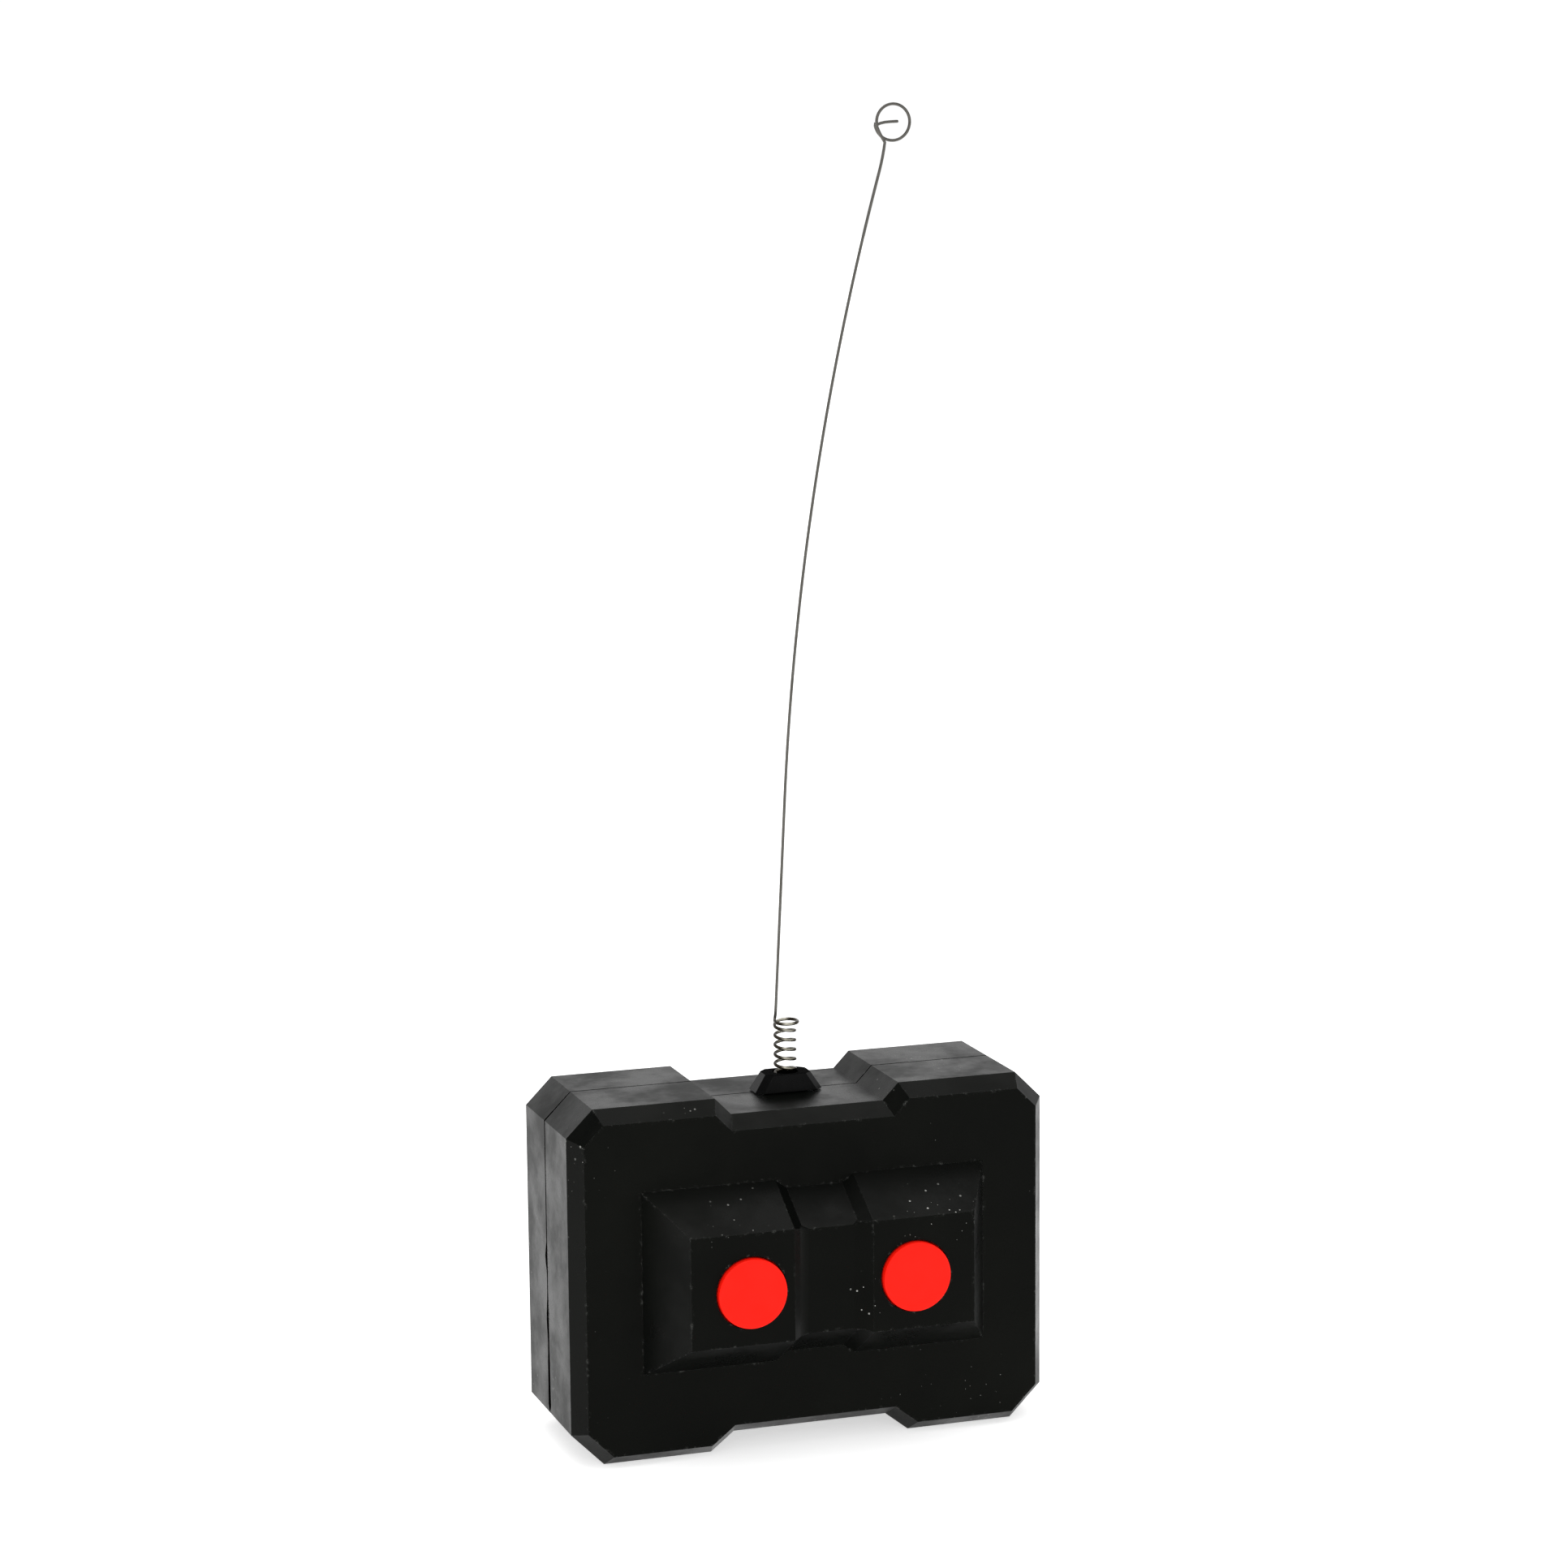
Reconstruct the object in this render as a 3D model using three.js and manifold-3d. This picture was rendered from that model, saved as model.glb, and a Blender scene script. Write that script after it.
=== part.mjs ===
// Two-button handheld radio trigger with a spring-mounted wire antenna.
//
// Millimetres. +X is to the right seen from the front, +Y points to the rear, +Z is up.
// The case is two shells that meet on a parting plane, and every depth below is measured
// from that plane: negative towards the front, positive towards the rear. The last lines
// move the whole assembly so that the origin lies under the middle of its bounding box.

import * as THREE from "three";
import { mergeVertices } from "three/addons/utils/BufferGeometryUtils.js";
import Module from "manifold-3d";

const wasm = await Module();
wasm.setup();

// ---------------------------------------------------------------- driving dimensions

const bodyWidth = 84;
const bodyHeight = 60.95;
const wall = 1.8;
const gap = 0.3; // clearance between separate pieces

const cornerTop = 4.58;
const cornerBottom = 5.58;
const topNotch = { floorHalf: 13.45, rimHalf: 16.25, depth: 2.86 };
const bottomNotch = { floorHalf: 13.6, rimHalf: 17.65, depth: 3.18 };

const rimInset = 2.09; // how far the chamfer round the front and back faces runs in
const frontRimY = -13.26;
const frontFaceY = -16.54;
const rearRimY = 11.85;
const rearFaceY = 14;

const keyBlock = {
  baseHalf: 30.25,
  baseLow: 15.7,
  baseHigh: 47,
  topHalf: 24.84,
  topLow: 22.05,
  topHigh: 41.1,
  faceY: -26.48,
  grooveRim: 6.9,
  grooveFloor: 4.9,
  grooveDepth: 1.5,
};

const button = { x: 14.4, z: 31, radius: 5.9, proud: 1, travel: 0.9, flangeRadius: 7.3 };

const board = { half: 30.5, low: 8, high: 53.4, frontY: -12.6, backY: -11 };

const cell = { radius: 7.25, length: 50.5, nubRadius: 2.75, nubLength: 1, y: 4.5, spacing: 15.1 };
const bay = { half: 28.2, halfHeight: 16.9, floorY: -3.5, shell: 1.4 };
const bayWindow = { half: 26.6, halfHeight: 15.2 };
const bayMiddleZ = bodyHeight / 2;
const door = { half: 28.6, halfHeight: 16.6, thickness: 1.6 };
const doorHook = { x: 16, half: 3.5, depth: 4.8, thickness: 0.9, neck: 1.4, reach: 1.6 };

const caseScrew = { x: 35, lowZ: 9, highZ: 52.4, headRadius: 2.6, shankRadius: 1.15 };

const antenna = { x: 0.6, wire: 0.5, coilWire: 0.55, coilRadius: 1.72, pitch: 1.65 };
const bossTopZ = 61.3;
const coilBaseZ = 59.9;
const coilSplitZ = 65.2;
const coilTopZ = 70;

// Depth of the parting plane in the finished part, so that the box is centred on the origin.
const partingPlaneY = (button.proud - keyBlock.faceY - rearFaceY) / 2;

// ---------------------------------------------------------------- materials

function finish(color, roughness, metalness) {
  return new THREE.MeshStandardMaterial({ color, roughness, metalness });
}

const blackPlastic = finish(0x1b1d1c, 0.55, 0);
const glossBlack = finish(0x0c0d0d, 0.3, 0);
const redPlastic = finish(0xff2a1e, 0.6, 0);
const steel = finish(0xc4c0b6, 0.3, 1);
const nickel = finish(0xb9b7b0, 0.35, 1);
const boardGreen = finish(0x1f5a35, 0.6, 0);
const darkEpoxy = finish(0x17181a, 0.7, 0);
const tanResin = finish(0xb98a54, 0.6, 0);
const copper = finish(0xb4713d, 0.35, 1);
const cellJacket = finish(0x2c3440, 0.45, 0);
const redInsulation = finish(0xa81c1a, 0.6, 0);
const blackInsulation = finish(0x161616, 0.6, 0);

// ---------------------------------------------------------------- solids and booleans

function toSolid(geometry) {
  const bare = geometry.clone();
  bare.deleteAttribute("normal");
  bare.deleteAttribute("uv");
  const merged = mergeVertices(bare, 1e-5);
  const mesh = new wasm.Mesh({
    numProp: 3,
    vertProperties: new Float32Array(merged.attributes.position.array),
    triVerts: new Uint32Array(merged.index.array),
  });
  return new wasm.Manifold(mesh);
}

function toGeometry(solid) {
  const mesh = solid.getMesh();
  const geometry = new THREE.BufferGeometry();
  geometry.setAttribute("position", new THREE.BufferAttribute(mesh.vertProperties, 3));
  geometry.setIndex(new THREE.BufferAttribute(mesh.triVerts, 1));
  geometry.computeVertexNormals();
  return geometry;
}

function join(...solids) {
  return solids.reduce((whole, next) => whole.add(next));
}

function cut(base, ...tools) {
  return tools.reduce((rest, tool) => rest.subtract(tool), base);
}

// Box between two values on each axis.
function block([x0, x1], [y0, y1], [z0, z1]) {
  const geometry = new THREE.BoxGeometry(x1 - x0, y1 - y0, z1 - z0);
  geometry.translate((x0 + x1) / 2, (y0 + y1) / 2, (z0 + z1) / 2);
  return toSolid(geometry);
}

// Round bar along Y.
function barY(radius, y0, y1, x, z, sides = 20) {
  const geometry = new THREE.CylinderGeometry(radius, radius, y1 - y0, sides);
  geometry.translate(x, (y0 + y1) / 2, z);
  return toSolid(geometry);
}

// Turned piece about the Y axis from [radius, y] pairs that start and end on the axis.
function turned(profile, sides) {
  const points = profile.map(([radius, y]) => new THREE.Vector2(radius, y));
  return new THREE.LatheGeometry(points, sides);
}

// Solid through flat outlines at growing depths. Outlines are [x, z] lists that run
// anticlockwise seen from the front, all with the same number of points.
function loft(sections) {
  const count = sections[0].outline.length;
  const last = (sections.length - 1) * count;
  const positions = sections.flatMap(({ y, outline }) => outline.flatMap(([x, z]) => [x, y, z]));
  const index = [];
  for (let level = 0; level < last; level += count) {
    for (let i = 0; i < count; i += 1) {
      const a = level + i;
      const b = level + ((i + 1) % count);
      index.push(a, a + count, b + count, a, b + count, b);
    }
  }
  const contour = sections[0].outline.map(([x, z]) => new THREE.Vector2(x, z));
  for (const [a, b, c] of THREE.ShapeUtils.triangulateShape(contour, [])) {
    index.push(a, b, c);
    index.push(last + a, last + c, last + b);
  }
  const geometry = new THREE.BufferGeometry();
  geometry.setAttribute("position", new THREE.Float32BufferAttribute(positions, 3));
  geometry.setIndex(index);
  return toSolid(geometry);
}

// Outline moved inwards by a distance, with its corners kept sharp.
function inset(outline, distance) {
  const count = outline.length;
  return outline.map((point, i) => {
    const corner = new THREE.Vector2(...point);
    const previous = new THREE.Vector2(...outline[(i + count - 1) % count]);
    const next = new THREE.Vector2(...outline[(i + 1) % count]);
    const before = corner.clone().sub(previous).normalize();
    const after = next.sub(corner).normalize();
    const inward = new THREE.Vector2(-before.y - after.y, before.x + after.x);
    const reach = distance / (1 + before.dot(after));
    return [corner.x + inward.x * reach, corner.y + inward.y * reach];
  });
}

// Round wire swept along a curve.
function wireAlong(curve, diameter, steps, sides = 6) {
  const section = new THREE.Shape();
  section.absarc(0, 0, diameter / 2, 0, 2 * Math.PI);
  return new THREE.ExtrudeGeometry(section, {
    steps,
    extrudePath: curve,
    curveSegments: sides / 2, // a full circle gets twice this number
    bevelEnabled: false,
  });
}

function smoothCurve(points) {
  return new THREE.CatmullRomCurve3(points, false, "centripetal");
}

function smoothPath(points) {
  return smoothCurve(points.map(([x, y, z]) => new THREE.Vector3(x, y, z)));
}

// ---------------------------------------------------------------- the assembly

const assembly = new THREE.Group();

function addPiece(name, shape, material, place = [0, 0, 0], turn = [0, 0, 0]) {
  const geometry = shape.isBufferGeometry ? shape : toGeometry(shape);
  const mesh = new THREE.Mesh(geometry, material);
  mesh.name = name;
  mesh.position.set(...place);
  mesh.rotation.set(...turn);
  assembly.add(mesh);
}

// ---------------------------------------------------------------- case outlines

const caseHalf = bodyWidth / 2;

const caseOutline = [
  [-caseHalf + cornerBottom, 0],
  [-bottomNotch.rimHalf, 0],
  [-bottomNotch.floorHalf, bottomNotch.depth],
  [bottomNotch.floorHalf, bottomNotch.depth],
  [bottomNotch.rimHalf, 0],
  [caseHalf - cornerBottom, 0],
  [caseHalf, cornerBottom],
  [caseHalf, bodyHeight - cornerTop],
  [caseHalf - cornerTop, bodyHeight],
  [topNotch.rimHalf, bodyHeight],
  [topNotch.floorHalf, bodyHeight - topNotch.depth],
  [-topNotch.floorHalf, bodyHeight - topNotch.depth],
  [-topNotch.rimHalf, bodyHeight],
  [-caseHalf + cornerTop, bodyHeight],
  [-caseHalf, bodyHeight - cornerTop],
  [-caseHalf, cornerBottom],
];

const notchFloorZ = bodyHeight - topNotch.depth;

// Raised block under the buttons: a tapered rectangle with a groove down its middle.
function consoleOutline(half, low, high) {
  const { grooveRim, grooveFloor, grooveDepth } = keyBlock;
  return [
    [-half, low],
    [-grooveRim, low],
    [-grooveFloor, low + grooveDepth],
    [grooveFloor, low + grooveDepth],
    [grooveRim, low],
    [half, low],
    [half, high],
    [grooveRim, high],
    [grooveFloor, high - grooveDepth],
    [-grooveFloor, high - grooveDepth],
    [-grooveRim, high],
    [-half, high],
  ];
}

function rectangle(half, low, high) {
  return [[-half, low], [half, low], [half, high], [-half, high]];
}

// The hollow keeps the wall's thickness round the chamfer as well.
const innerFaceInset = rimInset + 0.55 * wall;
const innerRimStep = 0.3 * wall;

// Screw places, seen from the front.
const screwPlaces = [
  { name: "lower_left", x: -caseScrew.x, z: caseScrew.lowZ },
  { name: "lower_right", x: caseScrew.x, z: caseScrew.lowZ },
  { name: "upper_left", x: -caseScrew.x, z: caseScrew.highZ },
  { name: "upper_right", x: caseScrew.x, z: caseScrew.highZ },
];

const boardScrewPlaces = [
  { name: "left", x: -26, z: 11 },
  { name: "right", x: 26, z: 11 },
  { name: "top", x: 12, z: 50.6 },
];

const buttonSides = [
  { name: "left", sign: -1 },
  { name: "right", sign: 1 },
];

// Slot that the antenna boss passes through, half of it in each shell.
const bossNeck = { half: 3.3, halfDepth: 1.9 };

function bossSlot() {
  const reach = bossNeck.half + gap;
  const depth = bossNeck.halfDepth + gap;
  const spanX = [antenna.x - reach, antenna.x + reach];
  return block(spanX, [-depth, depth], [notchFloorZ - 4, bodyHeight]);
}

// ---------------------------------------------------------------- front shell

function frontShell() {
  const body = loft([
    { y: frontFaceY, outline: inset(caseOutline, rimInset) },
    { y: frontRimY, outline: caseOutline },
    { y: -gap / 2, outline: caseOutline },
  ]);
  const { baseHalf, baseLow, baseHigh, topHalf, topLow, topHigh, faceY } = keyBlock;
  const raised = loft([
    { y: faceY, outline: consoleOutline(topHalf, topLow, topHigh) },
    { y: frontFaceY, outline: consoleOutline(baseHalf, baseLow, baseHigh) },
    { y: frontFaceY + wall / 2, outline: consoleOutline(baseHalf, baseLow, baseHigh) },
  ]);
  const hollow = loft([
    { y: frontFaceY + wall, outline: inset(caseOutline, innerFaceInset) },
    { y: frontRimY + innerRimStep, outline: inset(caseOutline, wall) },
    { y: 1, outline: inset(caseOutline, wall) },
  ]);
  const consoleHollow = loft([
    { y: faceY + wall + 1.5, outline: rectangle(topHalf - 1.7, topLow + 3, topHigh - 3) },
    { y: frontFaceY + wall + 0.5, outline: rectangle(baseHalf - 2.2, baseLow + 2.7, baseHigh - 2.7) },
  ]);
  const pillars = screwPlaces.map(({ x, z }) => barY(3.2, frontFaceY + wall / 2, -gap / 2, x, z));
  const standoffs = boardScrewPlaces.map(({ x, z }) =>
    barY(2.4, frontFaceY + wall / 2, board.frontY - gap, x, z, 16));
  const screwBores = screwPlaces.map(({ x, z }) => barY(1.45, -11, 1, x, z, 12));
  const boardBores = boardScrewPlaces.map(({ x, z }) => barY(1.3, -15.5, -10, x, z, 12));
  const wells = buttonSides.map(({ sign }) =>
    barY(7.9, faceY + wall, faceY + 4, sign * button.x, button.z, 32));
  const holes = buttonSides.map(({ sign }) =>
    barY(button.radius + gap, faceY - 1, faceY + 3, sign * button.x, button.z, 40));
  const shell = cut(join(body, raised), hollow, consoleHollow, consoleGroove(), bossSlot());
  return cut(join(shell, ...pillars, ...standoffs), ...screwBores, ...boardBores, ...wells, ...holes);
}

// Groove across the flat top of the raised block, with sloped sides.
function consoleGroove() {
  const { grooveRim, grooveFloor, grooveDepth, faceY, baseLow, baseHigh } = keyBlock;
  const slope = (grooveRim - grooveFloor) / grooveDepth;
  return loft([
    { y: faceY - 1, outline: rectangle(grooveRim + slope, baseLow, baseHigh) },
    { y: faceY + grooveDepth, outline: rectangle(grooveFloor, baseLow, baseHigh) },
  ]);
}

// ---------------------------------------------------------------- rear shell

function ring(outerInset, innerInset, y0, y1) {
  const outer = [y0, y1].map((y) => ({ y, outline: inset(caseOutline, outerInset) }));
  const inner = [y0 - 1, y1 + 1].map((y) => ({ y, outline: inset(caseOutline, innerInset) }));
  return cut(loft(outer), loft(inner));
}

function bayBlock(half, halfHeight, y0, y1) {
  return block([-half, half], [y0, y1], [bayMiddleZ - halfHeight, bayMiddleZ + halfHeight]);
}

function rearShell() {
  const body = loft([
    { y: gap / 2, outline: caseOutline },
    { y: rearRimY, outline: caseOutline },
    { y: rearFaceY, outline: inset(caseOutline, rimInset) },
  ]);
  const hollow = loft([
    { y: -1, outline: inset(caseOutline, wall) },
    { y: rearRimY - innerRimStep, outline: inset(caseOutline, wall) },
    { y: rearFaceY - wall, outline: inset(caseOutline, innerFaceInset) },
  ]);
  const lipReach = wall + gap;
  const lip = join(
    ring(wall - 0.3, lipReach + 1, 0.5, 3),
    ring(lipReach, lipReach + 1, -1.6, 1),
  );
  const lipGapX = [antenna.x - 7, antenna.x + 7];
  const lipGap = block(lipGapX, [-3, 4], [notchFloorZ - 6, notchFloorZ - wall - 0.01]);
  const pillars = screwPlaces.flatMap(({ x, z }) => [
    barY(3.2, gap / 2, rearFaceY - 1, x, z),
    barY(4.4, 6.3, rearFaceY - 1, x, z),
  ]);
  const screwHoles = screwPlaces.flatMap(({ x, z }) => [
    barY(1.6, -1, 9, x, z, 12),
    barY(caseScrew.headRadius + gap, 8, rearFaceY + 1, x, z),
  ]);
  const bayWalls = bayBlock(
    bay.half + bay.shell,
    bay.halfHeight + bay.shell,
    bay.floorY - bay.shell,
    rearFaceY - wall / 2,
  );
  const ledgeY = rearFaceY - door.thickness - gap;
  const bayHollow = join(
    bayBlock(bay.half, bay.halfHeight, bay.floorY, ledgeY - bay.shell),
    bayBlock(bayWindow.half, bayWindow.halfHeight, 0, rearFaceY + 1),
    bayBlock(door.half + gap, door.halfHeight + gap, ledgeY, rearFaceY + 1),
  );
  const tabSlots = [-1, 1].map((sign) =>
    block(
      [-bay.half, -bay.half + 1],
      [bay.floorY - bay.shell - 1, bay.floorY + 1],
      [bayMiddleZ + sign * cell.spacing / 2 - 1.8, bayMiddleZ + sign * cell.spacing / 2 + 1.8],
    ));
  const shell = join(cut(body, hollow), cut(lip, lipGap), ...pillars, bayWalls);
  return cut(shell, bayHollow, ...tabSlots, ...screwHoles, bossSlot());
}

// ---------------------------------------------------------------- battery door

function batteryDoor() {
  const panelY = rearFaceY - door.thickness;
  const panel = bayBlock(door.half, door.halfHeight, panelY, rearFaceY);
  const topEdge = bayMiddleZ + bayWindow.halfHeight - gap;
  const hookInnerY = rearFaceY - doorHook.depth;
  const hookOuterY = hookInnerY + doorHook.thickness;
  const tabs = [-doorHook.x, doorHook.x].flatMap((x) => {
    const spanX = [x - doorHook.half, x + doorHook.half];
    return [
      block(spanX, [hookInnerY, panelY + 0.5], [topEdge - doorHook.neck, topEdge]),
      block(spanX, [hookInnerY, hookOuterY], [topEdge - 0.5, topEdge + doorHook.reach]),
    ];
  });
  const bottomEdge = bayMiddleZ - bayWindow.halfHeight + gap;
  const latch = block([-5, 5], [hookInnerY + 0.3, panelY + 0.5], [bottomEdge, bottomEdge + 1.2]);
  const grooves = [0, 1, 2, 3].map((step) => {
    const z = bayMiddleZ - 13 + 2 * step;
    return block([-8, 8], [rearFaceY - 0.45, rearFaceY + 1], [z, z + 0.9]);
  });
  return cut(join(panel, ...tabs, latch), ...grooves);
}

// ---------------------------------------------------------------- buttons and switches

function pushButton() {
  const frontY = keyBlock.faceY - button.proud;
  const flangeY = keyBlock.faceY + wall + gap;
  const edge = 0.45;
  return turned([
    [0, frontY],
    [button.radius - edge, frontY + 0.02],
    [button.radius - 0.3 * edge, frontY + 0.3 * edge],
    [button.radius, frontY + edge],
    [button.radius, flangeY],
    [button.flangeRadius, flangeY],
    [button.flangeRadius, flangeY + 0.9],
    [1.7, flangeY + 0.9],
    [1.7, switchPlunger.frontY - gap],
    [0, switchPlunger.frontY - gap],
  ], 40);
}

const switchBody = { half: 3, frontY: -16.1, boreRadius: 2.05, boreY: -13.9 };
const switchPlunger = { radius: 1.75, frontY: -18, backY: switchBody.boreY - gap - button.travel };

function switchHousing(x) {
  const { half, frontY, boreRadius, boreY } = switchBody;
  const spanZ = [button.z - half, button.z + half];
  const body = block([x - half, x + half], [frontY, board.frontY - gap], spanZ);
  return cut(body, barY(boreRadius, frontY - 1, boreY, x, button.z, 24));
}

function switchCover(x) {
  const { half, frontY, boreRadius } = switchBody;
  const plateY = frontY - gap;
  const spanZ = [button.z - half, button.z + half];
  const plate = block([x - half, x + half], [plateY - 0.3, plateY], spanZ);
  return cut(plate, barY(boreRadius + 0.1, plateY - 1, plateY + 1, x, button.z, 24));
}

// ---------------------------------------------------------------- screws

// Pan-head screw along Y with its head towards the rear and a cross cut into it.
function screw({ headRadius, headHeight, shankRadius, seatY, tipY }, x, z) {
  const profile = [
    [0, tipY],
    [shankRadius * 0.4, tipY + 0.2],
    [shankRadius, tipY + 1.6],
    [shankRadius, seatY],
    [headRadius, seatY],
    [headRadius, seatY + headHeight * 0.6],
    [headRadius * 0.7, seatY + headHeight],
    [0, seatY + headHeight],
  ];
  const body = toSolid(turned(profile, 14)).translate([x, 0, z]);
  const slotHalf = headRadius * 0.55;
  const floorY = seatY + headHeight * 0.45;
  const topY = seatY + headHeight + 1;
  const slotA = block([x - slotHalf, x + slotHalf], [floorY, topY], [z - 0.35, z + 0.35]);
  const slotB = block([x - 0.35, x + 0.35], [floorY, topY], [z - slotHalf, z + slotHalf]);
  return cut(body, slotA, slotB);
}

// ---------------------------------------------------------------- circuit board

function circuitBoard() {
  const plate = block([-board.half, board.half], [board.frontY, board.backY], [board.low, board.high]);
  return cut(plate, ...boardScrewPlaces.map(({ x, z }) => barY(1.3, -14, -9, x, z, 12)));
}

// Outline drawn on the board and raised towards the front.
function standing(outline, height) {
  const options = { depth: height, bevelEnabled: false, curveSegments: 8 };
  return new THREE.ExtrudeGeometry(outline, options).rotateX(Math.PI / 2);
}

// Crystal in a can with semicircular ends.
function crystalCan() {
  const radius = 2.2;
  const straight = 3.1;
  const outline = new THREE.Shape();
  outline.absarc(straight, 0, radius, -Math.PI / 2, Math.PI / 2);
  outline.absarc(-straight, 0, radius, Math.PI / 2, 1.5 * Math.PI);
  return standing(outline, 3.6);
}

function encoderChip(x, z) {
  const half = 5.2;
  const seatY = board.backY + gap;
  const body = block([x - half, x + half], [seatY + 0.4, seatY + 2.6], [z - 3.2, z + 3.2]);
  const legs = [];
  for (let i = 0; i < 8; i += 1) {
    const legX = x - half + 0.8 + i * 1.27;
    legs.push(block([legX - 0.2, legX + 0.2], [seatY + 1, seatY + 1.3], [z - 4.6, z + 4.6]));
    for (const sign of [-1, 1]) {
      const outer = z + sign * 4.6;
      const span = [Math.min(outer, outer - sign * 0.4), Math.max(outer, outer - sign * 0.4)];
      legs.push(block([legX - 0.2, legX + 0.2], [seatY, seatY + 1.2], span));
    }
  }
  return join(body, ...legs);
}

// Half-round transistor body standing on its board.
function radioTransistor() {
  const outline = new THREE.Shape();
  outline.absarc(0, 0, 2.3, -0.2 * Math.PI, 1.2 * Math.PI);
  return standing(outline, 4.6);
}

function electrolyticCapacitor() {
  const foot = [[0, 0], [2.2, 0], [2.5, 0.4], [2.5, 0.9], [2.35, 1.2], [2.5, 1.5]];
  return turned([...foot, [2.5, 6.7], [2.2, 7], [0, 7]], 24);
}

function discCapacitor() {
  const face = [[1.6, 1], [2.4, 0.5]];
  const back = face.map(([radius, y]) => [radius, -y]);
  return turned([[0, -1.1], ...back, [2.5, 0], ...face.reverse(), [0, 1.1]], 20);
}

// Axial resistor with its two leads, about the Y axis.
function axialResistor() {
  const half = 3.1;
  const lead = 5.4;
  const top = [[0.25, half], [0.9, half], [1.15, half - 0.4], [1.15, half - 1], [0.95, half - 1.3]];
  const bottom = top.map(([radius, y]) => [radius, -y]);
  return turned([[0, -lead], [0.25, -lead], ...bottom, ...top.reverse(), [0.25, lead], [0, lead]], 14);
}

class Helix extends THREE.Curve {
  constructor({ startRadius, endRadius, startZ, endZ, turns }) {
    super();
    Object.assign(this, { startRadius, endRadius, startZ, endZ, turns });
  }

  getPoint(t, target = new THREE.Vector3()) {
    const radius = THREE.MathUtils.lerp(this.startRadius, this.endRadius, t);
    const angle = 2 * Math.PI * this.turns * t;
    const z = THREE.MathUtils.lerp(this.startZ, this.endZ, t);
    return target.set(radius * Math.cos(angle), radius * Math.sin(angle), z);
  }
}

function tuningCoil() {
  const path = new Helix({ startRadius: 2, endRadius: 2, startZ: -3, endZ: 3, turns: 5 });
  return wireAlong(path, 0.6, 50);
}

// ---------------------------------------------------------------- batteries

// Cell about the Y axis, with its nub at the positive end.
function drycell() {
  const { radius, length, nubRadius, nubLength } = cell;
  const shoulder = length - nubLength;
  return turned([
    [0, 0],
    [radius - 0.8, 0],
    [radius, 0.6],
    [radius, shoulder - 0.7],
    [radius - 0.7, shoulder],
    [nubRadius, shoulder],
    [nubRadius, length - 0.2],
    [nubRadius - 0.3, length],
    [0, length],
  ], 24);
}

const contactPlate = { outer: bay.half - gap, thickness: 0.4 };
const contactFaceX = contactPlate.outer - contactPlate.thickness;
const cellNubX = contactFaceX - gap;
const cellFlatX = cell.length - cellNubX;

function contact(sign, lowZ, highZ) {
  const span = [sign * contactPlate.outer, sign * contactFaceX].sort((a, b) => a - b);
  return block(span, [-1.5, 10.2], [lowZ, highZ]);
}

// Plate with a solder tab that reaches through the bay's floor.
function leadContact(z) {
  const tab = block([-contactPlate.outer, -contactFaceX], [-6.5, -1], [z - 1.5, z + 1.5]);
  return join(contact(-1, z - 6.3, z + 6.3), tab);
}

// Cone-shaped spring about Z that fills the space behind a cell's flat end.
function contactSpring() {
  const height = contactFaceX - cellFlatX - 2 * gap;
  const wireRadius = 0.3;
  const path = new Helix({
    startRadius: 4.2,
    endRadius: 2.4,
    startZ: wireRadius,
    endZ: height - wireRadius,
    turns: 3,
  });
  return wireAlong(path, 2 * wireRadius, 40);
}

// ---------------------------------------------------------------- antenna

// Black base of the antenna: a trapezoid block over the notch floor, a neck through the
// parting slot and a flange that both shells hold.
function antennaBoss() {
  const { half, halfDepth } = bossNeck;
  const footZ = notchFloorZ + 0.2;
  const tapered = toSolid(taperedBlock({
    lowZ: footZ,
    highZ: bossTopZ,
    lowHalf: 5.95,
    highHalf: 4,
    lowDepth: 2.95,
    highDepth: 2.6,
    corner: 1.2,
  }));
  const neckSpanX = [antenna.x - half, antenna.x + half];
  const flangeSpanX = [antenna.x - half - 1.4, antenna.x + half + 1.4];
  const neck = block(neckSpanX, [-halfDepth, halfDepth], [notchFloorZ - 3, footZ + 0.5]);
  const flange = block(flangeSpanX, [-3, 3], [notchFloorZ - 3.5, notchFloorZ - wall - gap]);
  const socket = toSolid(new THREE.CylinderGeometry(2.2, 2.2, 3, 24).rotateX(Math.PI / 2))
    .translate([antenna.x, 0, bossTopZ + 1.5 - 2]);
  const wireHole = toSolid(new THREE.CylinderGeometry(0.6, 0.6, 12, 12).rotateX(Math.PI / 2))
    .translate([antenna.x, 0, notchFloorZ]);
  return cut(join(tapered.translate([antenna.x, 0, 0]), neck, flange), socket, wireHole);
}

// Eight-sided frustum with vertical axis; its corners are cut off.
function taperedBlock({ lowZ, highZ, lowHalf, highHalf, lowDepth, highDepth, corner }) {
  const octagon = (half, depth) => [
    [half, -depth + corner],
    [half, depth - corner],
    [half - corner, depth],
    [-half + corner, depth],
    [-half, depth - corner],
    [-half, -depth + corner],
    [-half + corner, -depth],
    [half - corner, -depth],
  ];
  const points = [
    ...octagon(lowHalf, lowDepth).map(([x, y]) => [x, y, lowZ]),
    ...octagon(highHalf, highDepth).map(([x, y]) => [x, y, highZ]),
  ];
  const count = 8;
  const index = [];
  for (let i = 0; i < count; i += 1) {
    const next = (i + 1) % count;
    index.push(i, next, next + count, i, next + count, i + count);
  }
  for (let i = 1; i < count - 1; i += 1) {
    index.push(0, i + 1, i);
    index.push(count, count + i, count + i + 1);
  }
  const geometry = new THREE.BufferGeometry();
  geometry.setAttribute("position", new THREE.Float32BufferAttribute(points.flat(), 3));
  geometry.setIndex(index);
  return geometry;
}

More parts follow.
